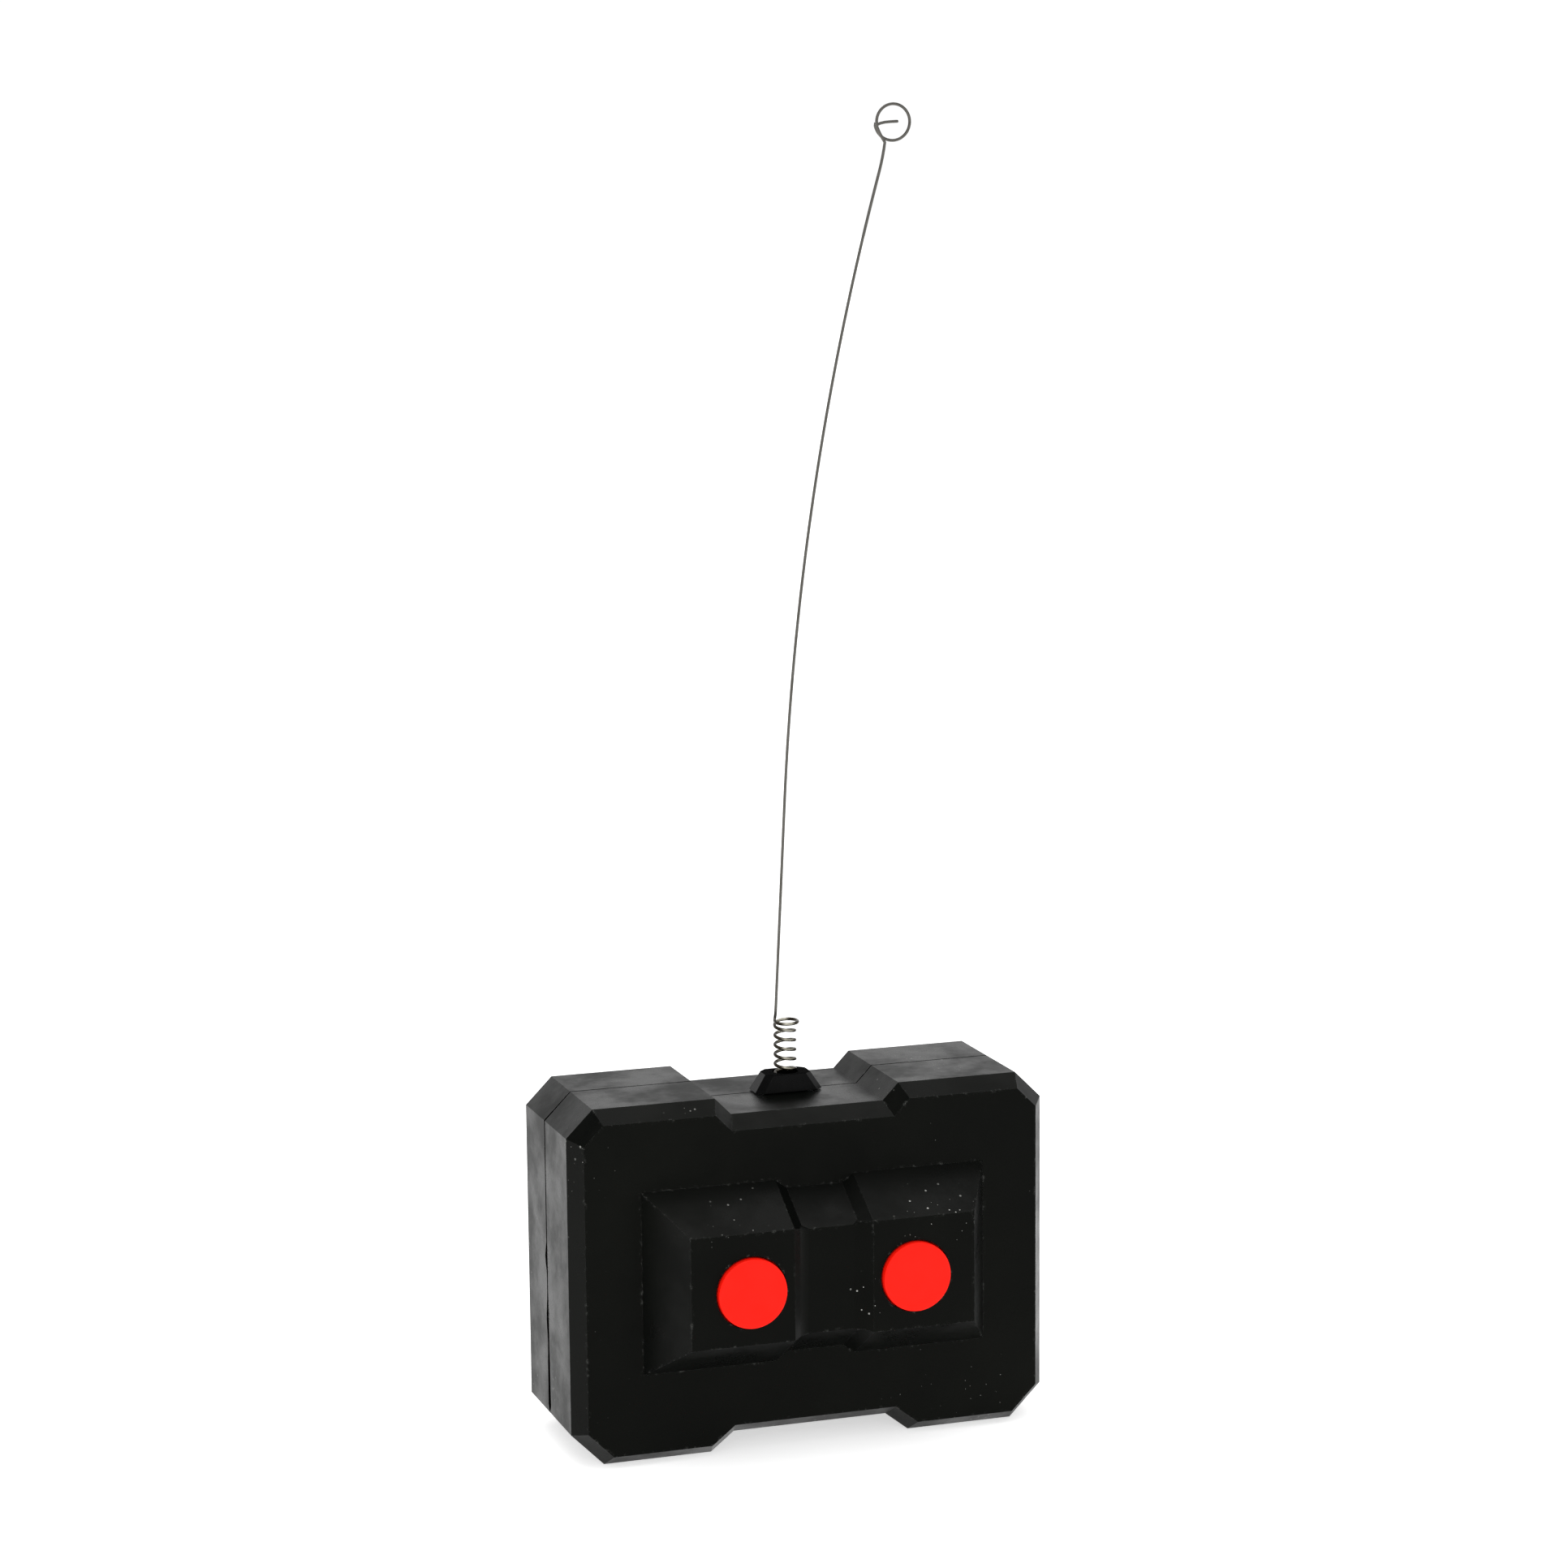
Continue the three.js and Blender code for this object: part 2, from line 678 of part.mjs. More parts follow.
// The antenna is one steel wire: a coil that bends, a long whip and a finger-safe ring.
// The coil starts at its left side, under the whip, and winds anticlockwise seen from above
// as it goes down. Its first turn lies nearly flat and bulges a little to the right.
const endTurn = {
  startAngle: THREE.MathUtils.degToRad(187),
  angle: THREE.MathUtils.degToRad(333),
  drop: 0.75,
  bulge: 0.5,
};

// Angle that the wire has turned through when it has come down to z.
function turnedAt(z) {
  const drop = coilTopZ - z;
  return drop < endTurn.drop
    ? (endTurn.angle * drop) / endTurn.drop
    : endTurn.angle + (2 * Math.PI * (drop - endTurn.drop)) / antenna.pitch;
}

class AntennaCoil extends THREE.Curve {
  constructor(lowTurned, highTurned) {
    super();
    Object.assign(this, { lowTurned, highTurned });
  }

  getPoint(t, target = new THREE.Vector3()) {
    const turned = THREE.MathUtils.lerp(this.lowTurned, this.highTurned, t);
    const share = Math.min(turned / endTurn.angle, 1);
    const radius = antenna.coilRadius + endTurn.bulge * Math.sin(Math.PI * share);
    const openTurn = Math.max(turned - endTurn.angle, 0);
    const z = coilTopZ - endTurn.drop * share - (antenna.pitch * openTurn) / (2 * Math.PI);
    const angle = endTurn.startAngle + turned;
    return target.set(radius * Math.cos(angle), radius * Math.sin(angle), z);
  }
}

const tailEndZ = 53.9;

// Lower half of the coil, with the straight tail that runs down through the boss.
function lowerCoil() {
  const coil = new AntennaCoil(turnedAt(coilBaseZ), turnedAt(coilSplitZ));
  const start = coil.getPoint(0);
  const points = [
    new THREE.Vector3(0, 0, tailEndZ),
    new THREE.Vector3(0, 0, coilBaseZ - 1.6),
    new THREE.Vector3(start.x * 0.35, start.y * 0.35, coilBaseZ - 0.35),
    ...coil.getPoints(42),
  ];
  return wireAlong(smoothCurve(points), antenna.coilWire, 64);
}

// Angle along a turn that leaves the usual clearance between two ends of the wire.
const splitAngle = gap / antenna.coilRadius;

function upperCoil() {
  return wireAlong(new AntennaCoil(turnedAt(coilSplitZ) - splitAngle, 0), antenna.coilWire, 46);
}

// Whip and ring in the plane of the parting line, as seen from the front.
const whip = {
  startX: -1,
  startZ: coilTopZ + antenna.coilWire / 2 + gap,
  leanStart: THREE.MathUtils.degToRad(3.1), // lean to the right at the foot
  straight: 36, // length before the bend begins
  bendRadius: 476,
  length: 141,
  ringRadius: 3,
  ringCentre: { x: 21.1, z: 220.8 },
  ringPitch: 0.75,
};

function whipCurve() {
  const points = [];
  let x = whip.startX;
  let z = whip.startZ;
  const step = 4.7;
  for (let run = 0; run <= whip.length; run += step) {
    points.push(new THREE.Vector3(x, 0, z));
    const lean = whip.leanStart + Math.max(0, run + step / 2 - whip.straight) / whip.bendRadius;
    x += step * Math.sin(lean);
    z += step * Math.cos(lean);
  }
  return points;
}

// Ring turns clockwise from its lower left, once round and on over the left side again.
function ringCurve() {
  const points = [];
  const { ringRadius, ringCentre, ringPitch } = whip;
  const firstAngle = THREE.MathUtils.degToRad(232);
  const turn = THREE.MathUtils.degToRad(415);
  const count = 32;
  for (let i = 0; i <= count; i += 1) {
    const angle = firstAngle - (turn * i) / count;
    const y = (ringPitch * i) / count;
    points.push(new THREE.Vector3(
      ringCentre.x + ringRadius * Math.cos(angle),
      y,
      ringCentre.z + ringRadius * Math.sin(angle),
    ));
  }
  return points;
}

function antennaWhip() {
  const ringStart = ringCurve();
  const tail = [
    new THREE.Vector3(whip.ringCentre.x - 2.2, whip.ringPitch + 0.05, whip.ringCentre.z - 0.3),
    new THREE.Vector3(whip.ringCentre.x - 0.6, whip.ringPitch + 0.05, whip.ringCentre.z + 0.1),
    new THREE.Vector3(whip.ringCentre.x + 1, whip.ringPitch + 0.05, whip.ringCentre.z + 0.15),
  ];
  const points = [...whipCurve(), ...ringStart, ...tail];
  return wireAlong(smoothCurve(points), antenna.wire, 120);
}

// Small crimp on the end of the antenna's tail.
function antennaTerminal() {
  const tube = toSolid(new THREE.CylinderGeometry(1.1, 1.1, 2.4, 16).rotateX(Math.PI / 2));
  const bore = toSolid(new THREE.CylinderGeometry(0.6, 0.6, 1.6, 12).rotateX(Math.PI / 2));
  return cut(tube, bore.translate([0, 0, 0.9]));
}

// ---------------------------------------------------------------- putting it together

addPiece("front_shell", frontShell(), blackPlastic);
addPiece("rear_shell", rearShell(), blackPlastic);
addPiece("battery_door", batteryDoor(), blackPlastic);

const caseScrewSize = {
  headRadius: caseScrew.headRadius,
  headHeight: 1.8,
  shankRadius: caseScrew.shankRadius,
  seatY: 8 + gap,
  tipY: -9.5,
};
for (const { name, x, z } of screwPlaces) {
  addPiece(`case_screw_${name}`, screw(caseScrewSize, x, z), steel);
}

for (const { name, sign } of buttonSides) {
  const x = sign * button.x;
  addPiece(`${name}_button`, pushButton(), redPlastic, [x, 0, button.z]);
  addPiece(`${name}_switch_housing`, switchHousing(x), darkEpoxy);
  addPiece(`${name}_switch_cover`, switchCover(x), nickel);
  const { radius, frontY, backY } = switchPlunger;
  addPiece(`${name}_switch_plunger`, barY(radius, frontY, backY, x, button.z, 24), darkEpoxy);
}

addPiece("circuit_board", circuitBoard(), boardGreen);
const boardScrewSize = {
  headRadius: 2.1,
  headHeight: 1.3,
  shankRadius: 1,
  seatY: board.backY + gap,
  tipY: -15,
};
for (const { name, x, z } of boardScrewPlaces) {
  addPiece(`board_screw_${name}`, screw(boardScrewSize, x, z), steel);
}

const boardFront = board.frontY - gap;
const boardBack = board.backY + gap;
addPiece("encoder_chip", encoderChip(-6, 36), darkEpoxy);
addPiece("crystal", crystalCan(), nickel, [0, boardFront, 38.6]);
addPiece("radio_transistor", radioTransistor(), darkEpoxy, [4.6, boardFront, 30.6]);
const turnedForward = [Math.PI, 0, 0];
const turnedSideways = [0, 0, Math.PI / 2];
const capacitorPlace = [0, boardFront, 26.2];
addPiece("electrolytic_capacitor", electrolyticCapacitor(), cellJacket, capacitorPlace, turnedForward);
for (const [name, x, z] of [["disc_capacitor_1", -4.4, 31], ["disc_capacitor_2", 8, 24]]) {
  addPiece(name, discCapacitor(), tanResin, [x, boardFront - 2.6, z], turnedSideways);
}
[18, 22, 26].forEach((z, i) => {
  addPiece(`resistor_${i + 1}`, axialResistor(), tanResin, [4, boardBack + 1.3, z], turnedSideways);
});
addPiece("tuning_coil", tuningCoil(), copper, [-8, boardBack + 2.5, 50.4], [0, Math.PI / 2, 0]);

const upperCellZ = bayMiddleZ + cell.spacing / 2;
const lowerCellZ = bayMiddleZ - cell.spacing / 2;
addPiece("upper_cell", drycell(), cellJacket, [-cellFlatX, cell.y, upperCellZ], [0, 0, -Math.PI / 2]);
addPiece("lower_cell", drycell(), cellJacket, [cellFlatX, cell.y, lowerCellZ], [0, 0, Math.PI / 2]);
addPiece("bridge_contact", contact(1, lowerCellZ - 6.3, upperCellZ + 6.3), nickel);
addPiece("positive_contact", leadContact(lowerCellZ), nickel);
addPiece("negative_contact", leadContact(upperCellZ), nickel);
const springX = contactFaceX - gap;
addPiece("bridge_spring", contactSpring(), steel, [springX, cell.y, lowerCellZ], [0, -Math.PI / 2, 0]);
addPiece("negative_spring", contactSpring(), steel, [-springX, cell.y, upperCellZ], [0, Math.PI / 2, 0]);

// Leads between the pieces that they are soldered to.
function leadTo(boardX, boardZ, tabZ) {
  const tabX = -(contactPlate.outer + contactFaceX) / 2;
  return smoothPath([
    [tabX, -7.4, tabZ],
    [tabX + 1, -8.6, tabZ + 0.4],
    [boardX - 2, -9, boardZ],
    [boardX, boardBack, boardZ],
  ]);
}
addPiece("positive_lead", wireAlong(leadTo(-20, 18, lowerCellZ), 1.2, 14), redInsulation);
addPiece("negative_lead", wireAlong(leadTo(-20, 44, upperCellZ), 1.2, 14), blackInsulation);
const antennaLead = smoothPath([
  [antenna.x, 0, 50.7],
  [antenna.x + 0.6, -1.6, 49.9],
  [3, -6, 50],
  [4, -9, 50.2],
  [4, boardBack, 50.2],
]);
addPiece("antenna_lead", wireAlong(antennaLead, 1.1, 18), blackInsulation);

addPiece("antenna_boss", antennaBoss(), glossBlack);
addPiece("antenna_terminal", antennaTerminal(), nickel, [antenna.x, 0, 52.6]);
addPiece("antenna_coil_lower", lowerCoil(), steel, [antenna.x, 0, 0]);
addPiece("antenna_coil_upper", upperCoil(), steel, [antenna.x, 0, 0]);
addPiece("antenna_whip", antennaWhip(), steel);

assembly.position.y = partingPlaneY;

const trigger = new THREE.Group();
trigger.add(assembly);

export default trigger;
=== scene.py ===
"""Looks of a handheld two-button radio trigger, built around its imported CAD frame."""

import math

import bmesh
import bpy
from mathutils import Matrix, Vector
from mathutils.bvhtree import BVHTree

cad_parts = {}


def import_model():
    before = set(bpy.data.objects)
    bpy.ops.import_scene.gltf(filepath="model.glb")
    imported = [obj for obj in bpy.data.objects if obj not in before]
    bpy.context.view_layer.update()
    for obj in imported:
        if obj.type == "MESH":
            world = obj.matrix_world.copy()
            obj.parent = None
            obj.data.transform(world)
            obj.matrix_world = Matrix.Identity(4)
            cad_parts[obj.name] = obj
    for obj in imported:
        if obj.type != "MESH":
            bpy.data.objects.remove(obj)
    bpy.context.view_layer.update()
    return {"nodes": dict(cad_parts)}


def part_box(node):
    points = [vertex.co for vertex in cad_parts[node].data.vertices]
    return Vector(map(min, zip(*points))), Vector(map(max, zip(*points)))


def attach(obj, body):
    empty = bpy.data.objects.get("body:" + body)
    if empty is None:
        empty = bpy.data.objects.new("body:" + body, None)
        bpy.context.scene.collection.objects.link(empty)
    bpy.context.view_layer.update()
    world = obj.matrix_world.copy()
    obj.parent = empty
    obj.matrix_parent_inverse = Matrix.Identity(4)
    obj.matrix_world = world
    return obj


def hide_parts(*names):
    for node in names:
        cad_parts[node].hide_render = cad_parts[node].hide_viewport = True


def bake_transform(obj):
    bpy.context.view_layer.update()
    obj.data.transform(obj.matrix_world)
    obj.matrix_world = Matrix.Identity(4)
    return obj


MM = 0.001

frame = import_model()

# ---------------------------------------------------------------- places from the frame


def middle(node):
    low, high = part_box(node)
    return (low + high) / 2


front_low, front_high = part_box("front_shell")
coil_low, coil_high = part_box("antenna_coil_upper")
boss_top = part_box("antenna_boss")[1].z

WALL = 1.8 * MM
CLEARANCE = 0.3 * MM
WIRE_RADIUS = 0.25 * MM
COIL_WIRE_RADIUS = 0.275 * MM
COIL_RADIUS = 1.72 * MM
COIL_PITCH = 1.65 * MM

parting_y = front_high.y + CLEARANCE / 2
antenna_x = middle("antenna_boss").x

# Places and reach of white dust: along the left front rim, above the right button and
# beside it.
right_button = middle("right_button")
DUST_PATCHES = [
    ((front_low.x + 5 * MM, front_low.y + 1 * MM, 13 * MM), 11 * MM),
    ((front_low.x + 5 * MM, front_low.y + 1 * MM, 51 * MM), 9 * MM),
    ((right_button.x + 4 * MM, front_low.y, right_button.z + 11 * MM), 9 * MM),
    ((right_button.x - 8 * MM, front_low.y, right_button.z - 3 * MM), 5 * MM),
]

# ---------------------------------------------------------------- mesh helpers


def new_object(name, data):
    obj = bpy.data.objects.new(name, data)
    bpy.context.scene.collection.objects.link(obj)
    return obj


def object_from(name, vertices, faces):
    mesh = bpy.data.meshes.new(name)
    mesh.from_pydata([tuple(v) for v in vertices], [], faces)
    mesh.validate()
    mesh.polygons.foreach_set("use_smooth", [True] * len(mesh.polygons))
    mesh.update()
    return new_object(name, mesh)


def turned(name, profile, sides, place, axis="Y"):
    """Closed turned piece from (radius, height) pairs; the first and last lie on the axis."""
    vertices = [Vector((0, 0, profile[0][1]))]
    rings = []
    for radius, height in profile[1:-1]:
        rings.append(len(vertices))
        for i in range(sides):
            a = 2 * math.pi * i / sides
            vertices.append(Vector((radius * math.cos(a), radius * math.sin(a), height)))
    vertices.append(Vector((0, 0, profile[-1][1])))
    faces = []
    last = len(vertices) - 1
    for i in range(sides):
        j = (i + 1) % sides
        faces.append((0, rings[0] + j, rings[0] + i))
        faces.append((last, rings[-1] + i, rings[-1] + j))
        for low, high in zip(rings, rings[1:]):
            faces.append((low + i, low + j, high + j, high + i))
    turn = {
        "X": Matrix.Rotation(math.pi / 2, 3, "Y"),
        "-X": Matrix.Rotation(-math.pi / 2, 3, "Y"),
        "Y": Matrix.Rotation(-math.pi / 2, 3, "X"),
    }[axis]
    vertices = [place + turn @ v for v in vertices]
    return object_from(name, vertices, faces)


def rounded(corners, radius, steps=4):
    """A profile with each inner corner of a list of (radius, height) pairs turned to an arc."""
    points = [corners[0]]
    for before, corner, after in zip(corners, corners[1:], corners[2:]):
        a = Vector(before) - Vector(corner)
        b = Vector(after) - Vector(corner)
        reach = min(radius, 0.45 * a.length, 0.45 * b.length)
        start = Vector(corner) + a.normalized() * reach
        end = Vector(corner) + b.normalized() * reach
        for i in range(steps + 1):
            t = i / steps
            p = start * (1 - t) ** 2 + Vector(corner) * 2 * t * (1 - t) + end * t * t
            points.append(tuple(p))
    points.append(corners[-1])
    return points


def spline(points, steps=6):
    """Smooth run of points through the given ones (Catmull-Rom)."""
    knots = [Vector(p) for p in points]
    knots = [2 * knots[0] - knots[1], *knots, 2 * knots[-1] - knots[-2]]
    run = [knots[1]]
    for a, b, c, d in zip(knots, knots[1:], knots[2:], knots[3:]):
        for i in range(1, steps + 1):
            t = i / steps
            cubic = (3 * b - a - 3 * c + d) * t ** 3
            square = (2 * a - 5 * b + 4 * c - d) * t ** 2
            run.append((2 * b + (c - a) * t + square + cubic) / 2)
    return run


def swept(name, points, radius, sides=14):
    """Round wire along a list of points, with closed rounded ends."""
    path = [Vector(p) for p in points]
    tangents = []
    for i in range(len(path)):
        before = path[max(i - 1, 0)]
        after = path[min(i + 1, len(path) - 1)]
        tangents.append((after - before).normalized())
    side = tangents[0].orthogonal().normalized()
    vertices = []
    faces = []
    rings = []
    dome = [(0.6, 0.5), (0.3, 0.86)]
    first, last = tangents[0], tangents[-1]
    stations = [(path[0] - first * out * radius, first, scale) for out, scale in dome]
    stations += [(point, tangent, 1.0) for point, tangent in zip(path, tangents)]
    stations += [(path[-1] + last * out * radius, last, scale) for out, scale in dome[::-1]]
    for centre, tangent, scale in stations:
        side = (side - tangent * side.dot(tangent)).normalized()
        up = tangent.cross(side)
        rings.append(len(vertices))
        for i in range(sides):
            a = 2 * math.pi * i / sides
            vertices.append(centre + (side * math.cos(a) + up * math.sin(a)) * radius * scale)
    for low, high in zip(rings, rings[1:]):
        for i in range(sides):
            j = (i + 1) % sides
            faces.append((low + i, low + j, high + j, high + i))
    faces.append(tuple(rings[0] + i for i in reversed(range(sides))))
    faces.append(tuple(rings[-1] + i for i in range(sides)))
    return object_from(name, vertices, faces)


def outer_polygons(mesh_object, blockers):
    """Polygons of a CAD copy whose middle faces straight out, past all the blockers."""
    lift = 0.02 * MM
    reach = 200 * MM
    outer = set()
    for polygon in mesh_object.data.polygons:
        start = polygon.center + polygon.normal * lift
        hits = [tree.ray_cast(start, polygon.normal, reach) for tree in blockers]
        if all(hit[0] is None for hit in hits):
            outer.add(polygon.index)
    return outer


def round_edges(bm, edges, width):
    """Bevel edges and return the new strips of faces."""
    made = bmesh.ops.bevel(
        bm,
        geom=edges,
        offset=width,
        offset_type="OFFSET",
        segments=3,
        profile=0.5,
        affect="EDGES",
        clamp_overlap=True,
    )
    return made["faces"]


def moulded_copy(node, name, edge, blockers, finer=None, finer_edge=0.0, reshape=None, hollow=0.0):
    """Copy of a CAD node whose outside edges are rounded, as a moulding's are.

    Edges for which finer(edge) is true get the smaller finer_edge instead, and long inside
    corners at the front get the larger hollow. The other rounded strips are marked, so that
    the material can lighten them, as wear and, on the case, partly as painted highlight.
    """
    source = frame["nodes"][node]
    obj = new_object(name, source.data.copy())
    outer = outer_polygons(obj, blockers)
    bm = bmesh.new()
    bm.from_mesh(obj.data)
    bm.faces.ensure_lookup_table()
    mark = bm.faces.layers.float.new("rounded_edge")
    for face in bm.faces:
        face.material_index = 1 if face.index in outer else 0
    bmesh.ops.remove_doubles(bm, verts=bm.verts, dist=0.002 * MM)
    bmesh.ops.dissolve_limit(
        bm,
        angle_limit=math.radians(0.6),
        verts=bm.verts,
        edges=bm.edges,
        delimit={"MATERIAL"},
    )
    if reshape:
        reshape(bm)

    def sharp_and_seen(e):
        if len(e.link_faces) != 2 or not any(f.material_index for f in e.link_faces):
            return False
        return e.calc_face_angle(0) > math.radians(14)

    if finer:
        fine = [e for e in bm.edges if sharp_and_seen(e) and finer(e)]
        round_edges(bm, fine, finer_edge)
    if hollow:
        corners = [
            e for e in bm.edges
            if sharp_and_seen(e) and not e.is_convex and e.calc_length() > 8 * MM
            and all(f.material_index for f in e.link_faces)
            and all(v.co.y < front_low.y + 4 * MM for v in e.verts)
        ]
        round_edges(bm, corners, hollow)
    coarse = [e for e in bm.edges if sharp_and_seen(e) and not (finer and finer(e))]
    for strip in round_edges(bm, coarse, edge):
        strip[mark] = 1.0
    for face in bm.faces:
        face.material_index = 0
        face.smooth = True
    bm.to_mesh(obj.data)
    bm.free()
    weighted = obj.modifiers.new("weighted", "WEIGHTED_NORMAL")
    weighted.mode = "FACE_AREA"
    weighted.keep_sharp = True
    return obj


def tree_of(node):
    mesh = frame["nodes"][node].data
    return BVHTree.FromPolygons([v.co for v in mesh.vertices], [p.vertices for p in mesh.polygons])


# ---------------------------------------------------------------- material helpers


def set_range(node, low, high, low_out, high_out):
    """Make a Map Range node ease from low_out at low to high_out at high."""
    node.interpolation_type = "SMOOTHSTEP"
    node.inputs["From Min"].default_value = low
    node.inputs["From Max"].default_value = high
    node.inputs["To Min"].default_value = low_out
    node.inputs["To Max"].default_value = high_out


class Shader:
    """One procedural material: a Principled surface and the nodes that feed it."""

    def __init__(self, name, color, roughness, metallic=0.0, ior=1.45):
        self.material = bpy.data.materials.new(name)
        self.material.use_nodes = True
        self.tree = self.material.node_tree
        self.tree.nodes.clear()
        self.output = self.node("ShaderNodeOutputMaterial")
        self.surface = self.node("ShaderNodeBsdfPrincipled")
        self.tree.links.new(self.surface.outputs[0], self.output.inputs[0])
        self.surface.inputs["Base Color"].default_value = (*color, 1)
        self.surface.inputs["Roughness"].default_value = roughness
        self.surface.inputs["Metallic"].default_value = metallic
        self.surface.inputs["IOR"].default_value = ior
        self.place = self.node("ShaderNodeTexCoord").outputs["Object"]
        self.bump_chain = None

    def node(self, kind, **values):
        made = self.tree.nodes.new(kind)
        for key, value in values.items():
            if key in made.inputs:
                made.inputs[key].default_value = value
            else:
                setattr(made, key, value)
        return made

    def link(self, source, target):
        self.tree.links.new(source, target)

    def stretched(self, scale):
        mapping = self.node("ShaderNodeMapping")
        mapping.inputs["Scale"].default_value = scale
        self.link(self.place, mapping.inputs["Vector"])
        return mapping.outputs[0]

    def noise(self, scale, detail=3.0, roughness=0.5, vector=None, distortion=0.0):
        made = self.node("ShaderNodeTexNoise", Scale=scale, Detail=detail, Roughness=roughness)
        made.inputs["Distortion"].default_value = distortion
        self.link(vector or self.place, made.inputs["Vector"])
        return made.outputs["Fac"]

    def cells(self, scale):
        made = self.node("ShaderNodeTexVoronoi", Scale=scale)
        self.link(self.place, made.inputs["Vector"])
        return made

    def ramp(self, value, low, high, low_out=0.0, high_out=1.0):
        made = self.node("ShaderNodeMapRange")
        set_range(made, low, high, low_out, high_out)
        self.link(value, made.inputs["Value"])
        return made.outputs[0]

    def math(self, operation, *values):
        made = self.node("ShaderNodeMath", operation=operation)
        for socket, value in zip(made.inputs, values):
            if isinstance(value, (int, float)):
                socket.default_value = value
            else:
                self.link(value, socket)
        return made.outputs[0]

    def mix(self, factor, a, b):
        """Colour a where factor is 0, b where it is 1."""
        made = self.node("ShaderNodeMix", data_type="RGBA")
        self.link(factor, made.inputs["Factor"])
        for socket, value in ((made.inputs[6], a), (made.inputs[7], b)):
            if isinstance(value, tuple):
                socket.default_value = (*value, 1)
            else:
                self.link(value, socket)
        return made.outputs[2]

    def channel(self, color, name):
        made = self.node("ShaderNodeSeparateColor")
        self.link(color, made.inputs[0])
        return made.outputs[name]

    def axis(self, name):
        """One coordinate of the place on the object, in metres."""
        split = self.node("ShaderNodeSeparateXYZ")
        self.link(self.place, split.inputs[0])
        return split.outputs[name]

    def normal_axis(self, name):
        """One component of the surface normal in world space."""
        split = self.node("ShaderNodeSeparateXYZ")
        self.link(self.node("ShaderNodeNewGeometry").outputs["True Normal"], split.inputs[0])
        return split.outputs[name]

    def rounded_edge(self):
        """1 on the marked strips of a moulded copy, 0 elsewhere."""
        return self.node("ShaderNodeAttribute", attribute_name="rounded_edge").outputs["Fac"]

    def near(self, place, reach):
        """1 at a place, fading to 0 at the given distance."""
        away = self.node("ShaderNodeVectorMath", operation="DISTANCE")
        self.link(self.place, away.inputs[0])
        away.inputs[1].default_value = place
        return self.ramp(away.outputs["Value"], 0.35 * reach, reach, 1.0, 0.0)

    def edges(self, radius):
        """1 on convex and concave edges within a radius, 0 on flat surface."""
        bevel = self.node("ShaderNodeBevel", samples=6)
        bevel.inputs["Radius"].default_value = radius
        geometry = self.node("ShaderNodeNewGeometry")
        dot = self.node("ShaderNodeVectorMath", operation="DOT_PRODUCT")
        self.link(bevel.outputs[0], dot.inputs[0])
        self.link(geometry.outputs["True Normal"], dot.inputs[1])
        return self.ramp(dot.outputs["Value"], 0.995, 0.9)

    def bump(self, height, strength, distance):
        made = self.node("ShaderNodeBump", Strength=strength, Distance=distance)
        self.link(height, made.inputs["Height"])
        if self.bump_chain is not None:
            self.link(self.bump_chain, made.inputs["Normal"])
        self.bump_chain = made.outputs[0]

    def finish(self, color=None, roughness=None):
        if color is not None:
            self.link(color, self.surface.inputs["Base Color"])
        if roughness is not None:
            self.link(roughness, self.surface.inputs["Roughness"])
        if self.bump_chain is not None:
            self.link(self.bump_chain, self.surface.inputs["Normal"])
        return self.material


# ---------------------------------------------------------------- materials


def black_plastic():
    """Satin moulded ABS: fine grain, cloudy sheen, rubbed edges with painted highlight, painted
    seam shade and a little white dust.
    """
    base = (0.0012, 0.0015, 0.0012)
    s = Shader("satin_black_plastic", base, 0.36)
    grime = s.ramp(s.noise(30, detail=6, roughness=0.65), 0.35, 0.75)
    color = s.mix(grime, base, (0.0026, 0.0030, 0.0023))

    # Rounded strips lightened in patches: partly rubbed wear, partly painted highlight along the
    # edges.
    wear_and_highlight_patches = s.ramp(s.noise(340, detail=5, roughness=0.7), 0.36, 0.6, 0.25, 1.0)
    color = s.mix(s.math("MULTIPLY", s.rounded_edge(), wear_and_highlight_patches), color, (0.12, 0.125, 0.118))
    # Lighter scuffs near every edge: partly wear, partly painted highlight.
    scuffs_and_highlight = s.ramp(s.noise(900, detail=6, roughness=0.8), 0.55, 0.65)
    color = s.mix(s.math("MULTIPLY", s.edges(0.9 * MM), scuffs_and_highlight), color, (0.07, 0.072, 0.068))

    speck = s.cells(1100)
    chance = s.ramp(s.channel(speck.outputs["Color"], "Red"), 0.62, 0.63)
    size = s.ramp(s.channel(speck.outputs["Color"], "Green"), 0.0, 1.0, 0.05, 0.22)
    spot = s.math("LESS_THAN", speck.outputs["Distance"], size)
    dusty = s.ramp(s.noise(45, detail=3), 0.58, 0.68, 0.0, 0.6)
    for place, reach in DUST_PATCHES:
        dusty = s.math("MAXIMUM", dusty, s.near(place, reach))
    dust = s.math("MULTIPLY", s.math("MULTIPLY", spot, chance), dusty)
    color = s.mix(dust, color, (0.36, 0.36, 0.34))

    # Painted shade: the faces in the seam are painted black and barely reflect; the rest shines,
    # but less when seen straight on.
    from_seam = s.math("ABSOLUTE", s.math("SUBTRACT", s.axis("Y"), parting_y))
    facing = s.math("ABSOLUTE", s.normal_axis("Y"))
    painted_seam_shade = s.math(
        "MULTIPLY",
        s.ramp(from_seam, 1.4 * MM, 1.2 * MM),
        s.ramp(facing, 0.5, 0.8),
    )
    color = s.mix(painted_seam_shade, color, (0.0, 0.0, 0.0))
    s.link(s.ramp(painted_seam_shade, 0.0, 1.0, 1.22, 1.01), s.surface.inputs["IOR"])
    s.surface.inputs["Specular Tint"].default_value = (0.36, 0.36, 0.33, 1)

    rough = s.ramp(s.noise(70, detail=6, roughness=0.66), 0.32, 0.68, 0.23, 0.46)
    s.bump(s.noise(2600, detail=3), 0.3, 0.03 * MM)
    s.bump(s.noise(240, detail=3), 0.12, 0.12 * MM)
    return s.finish(color, rough)


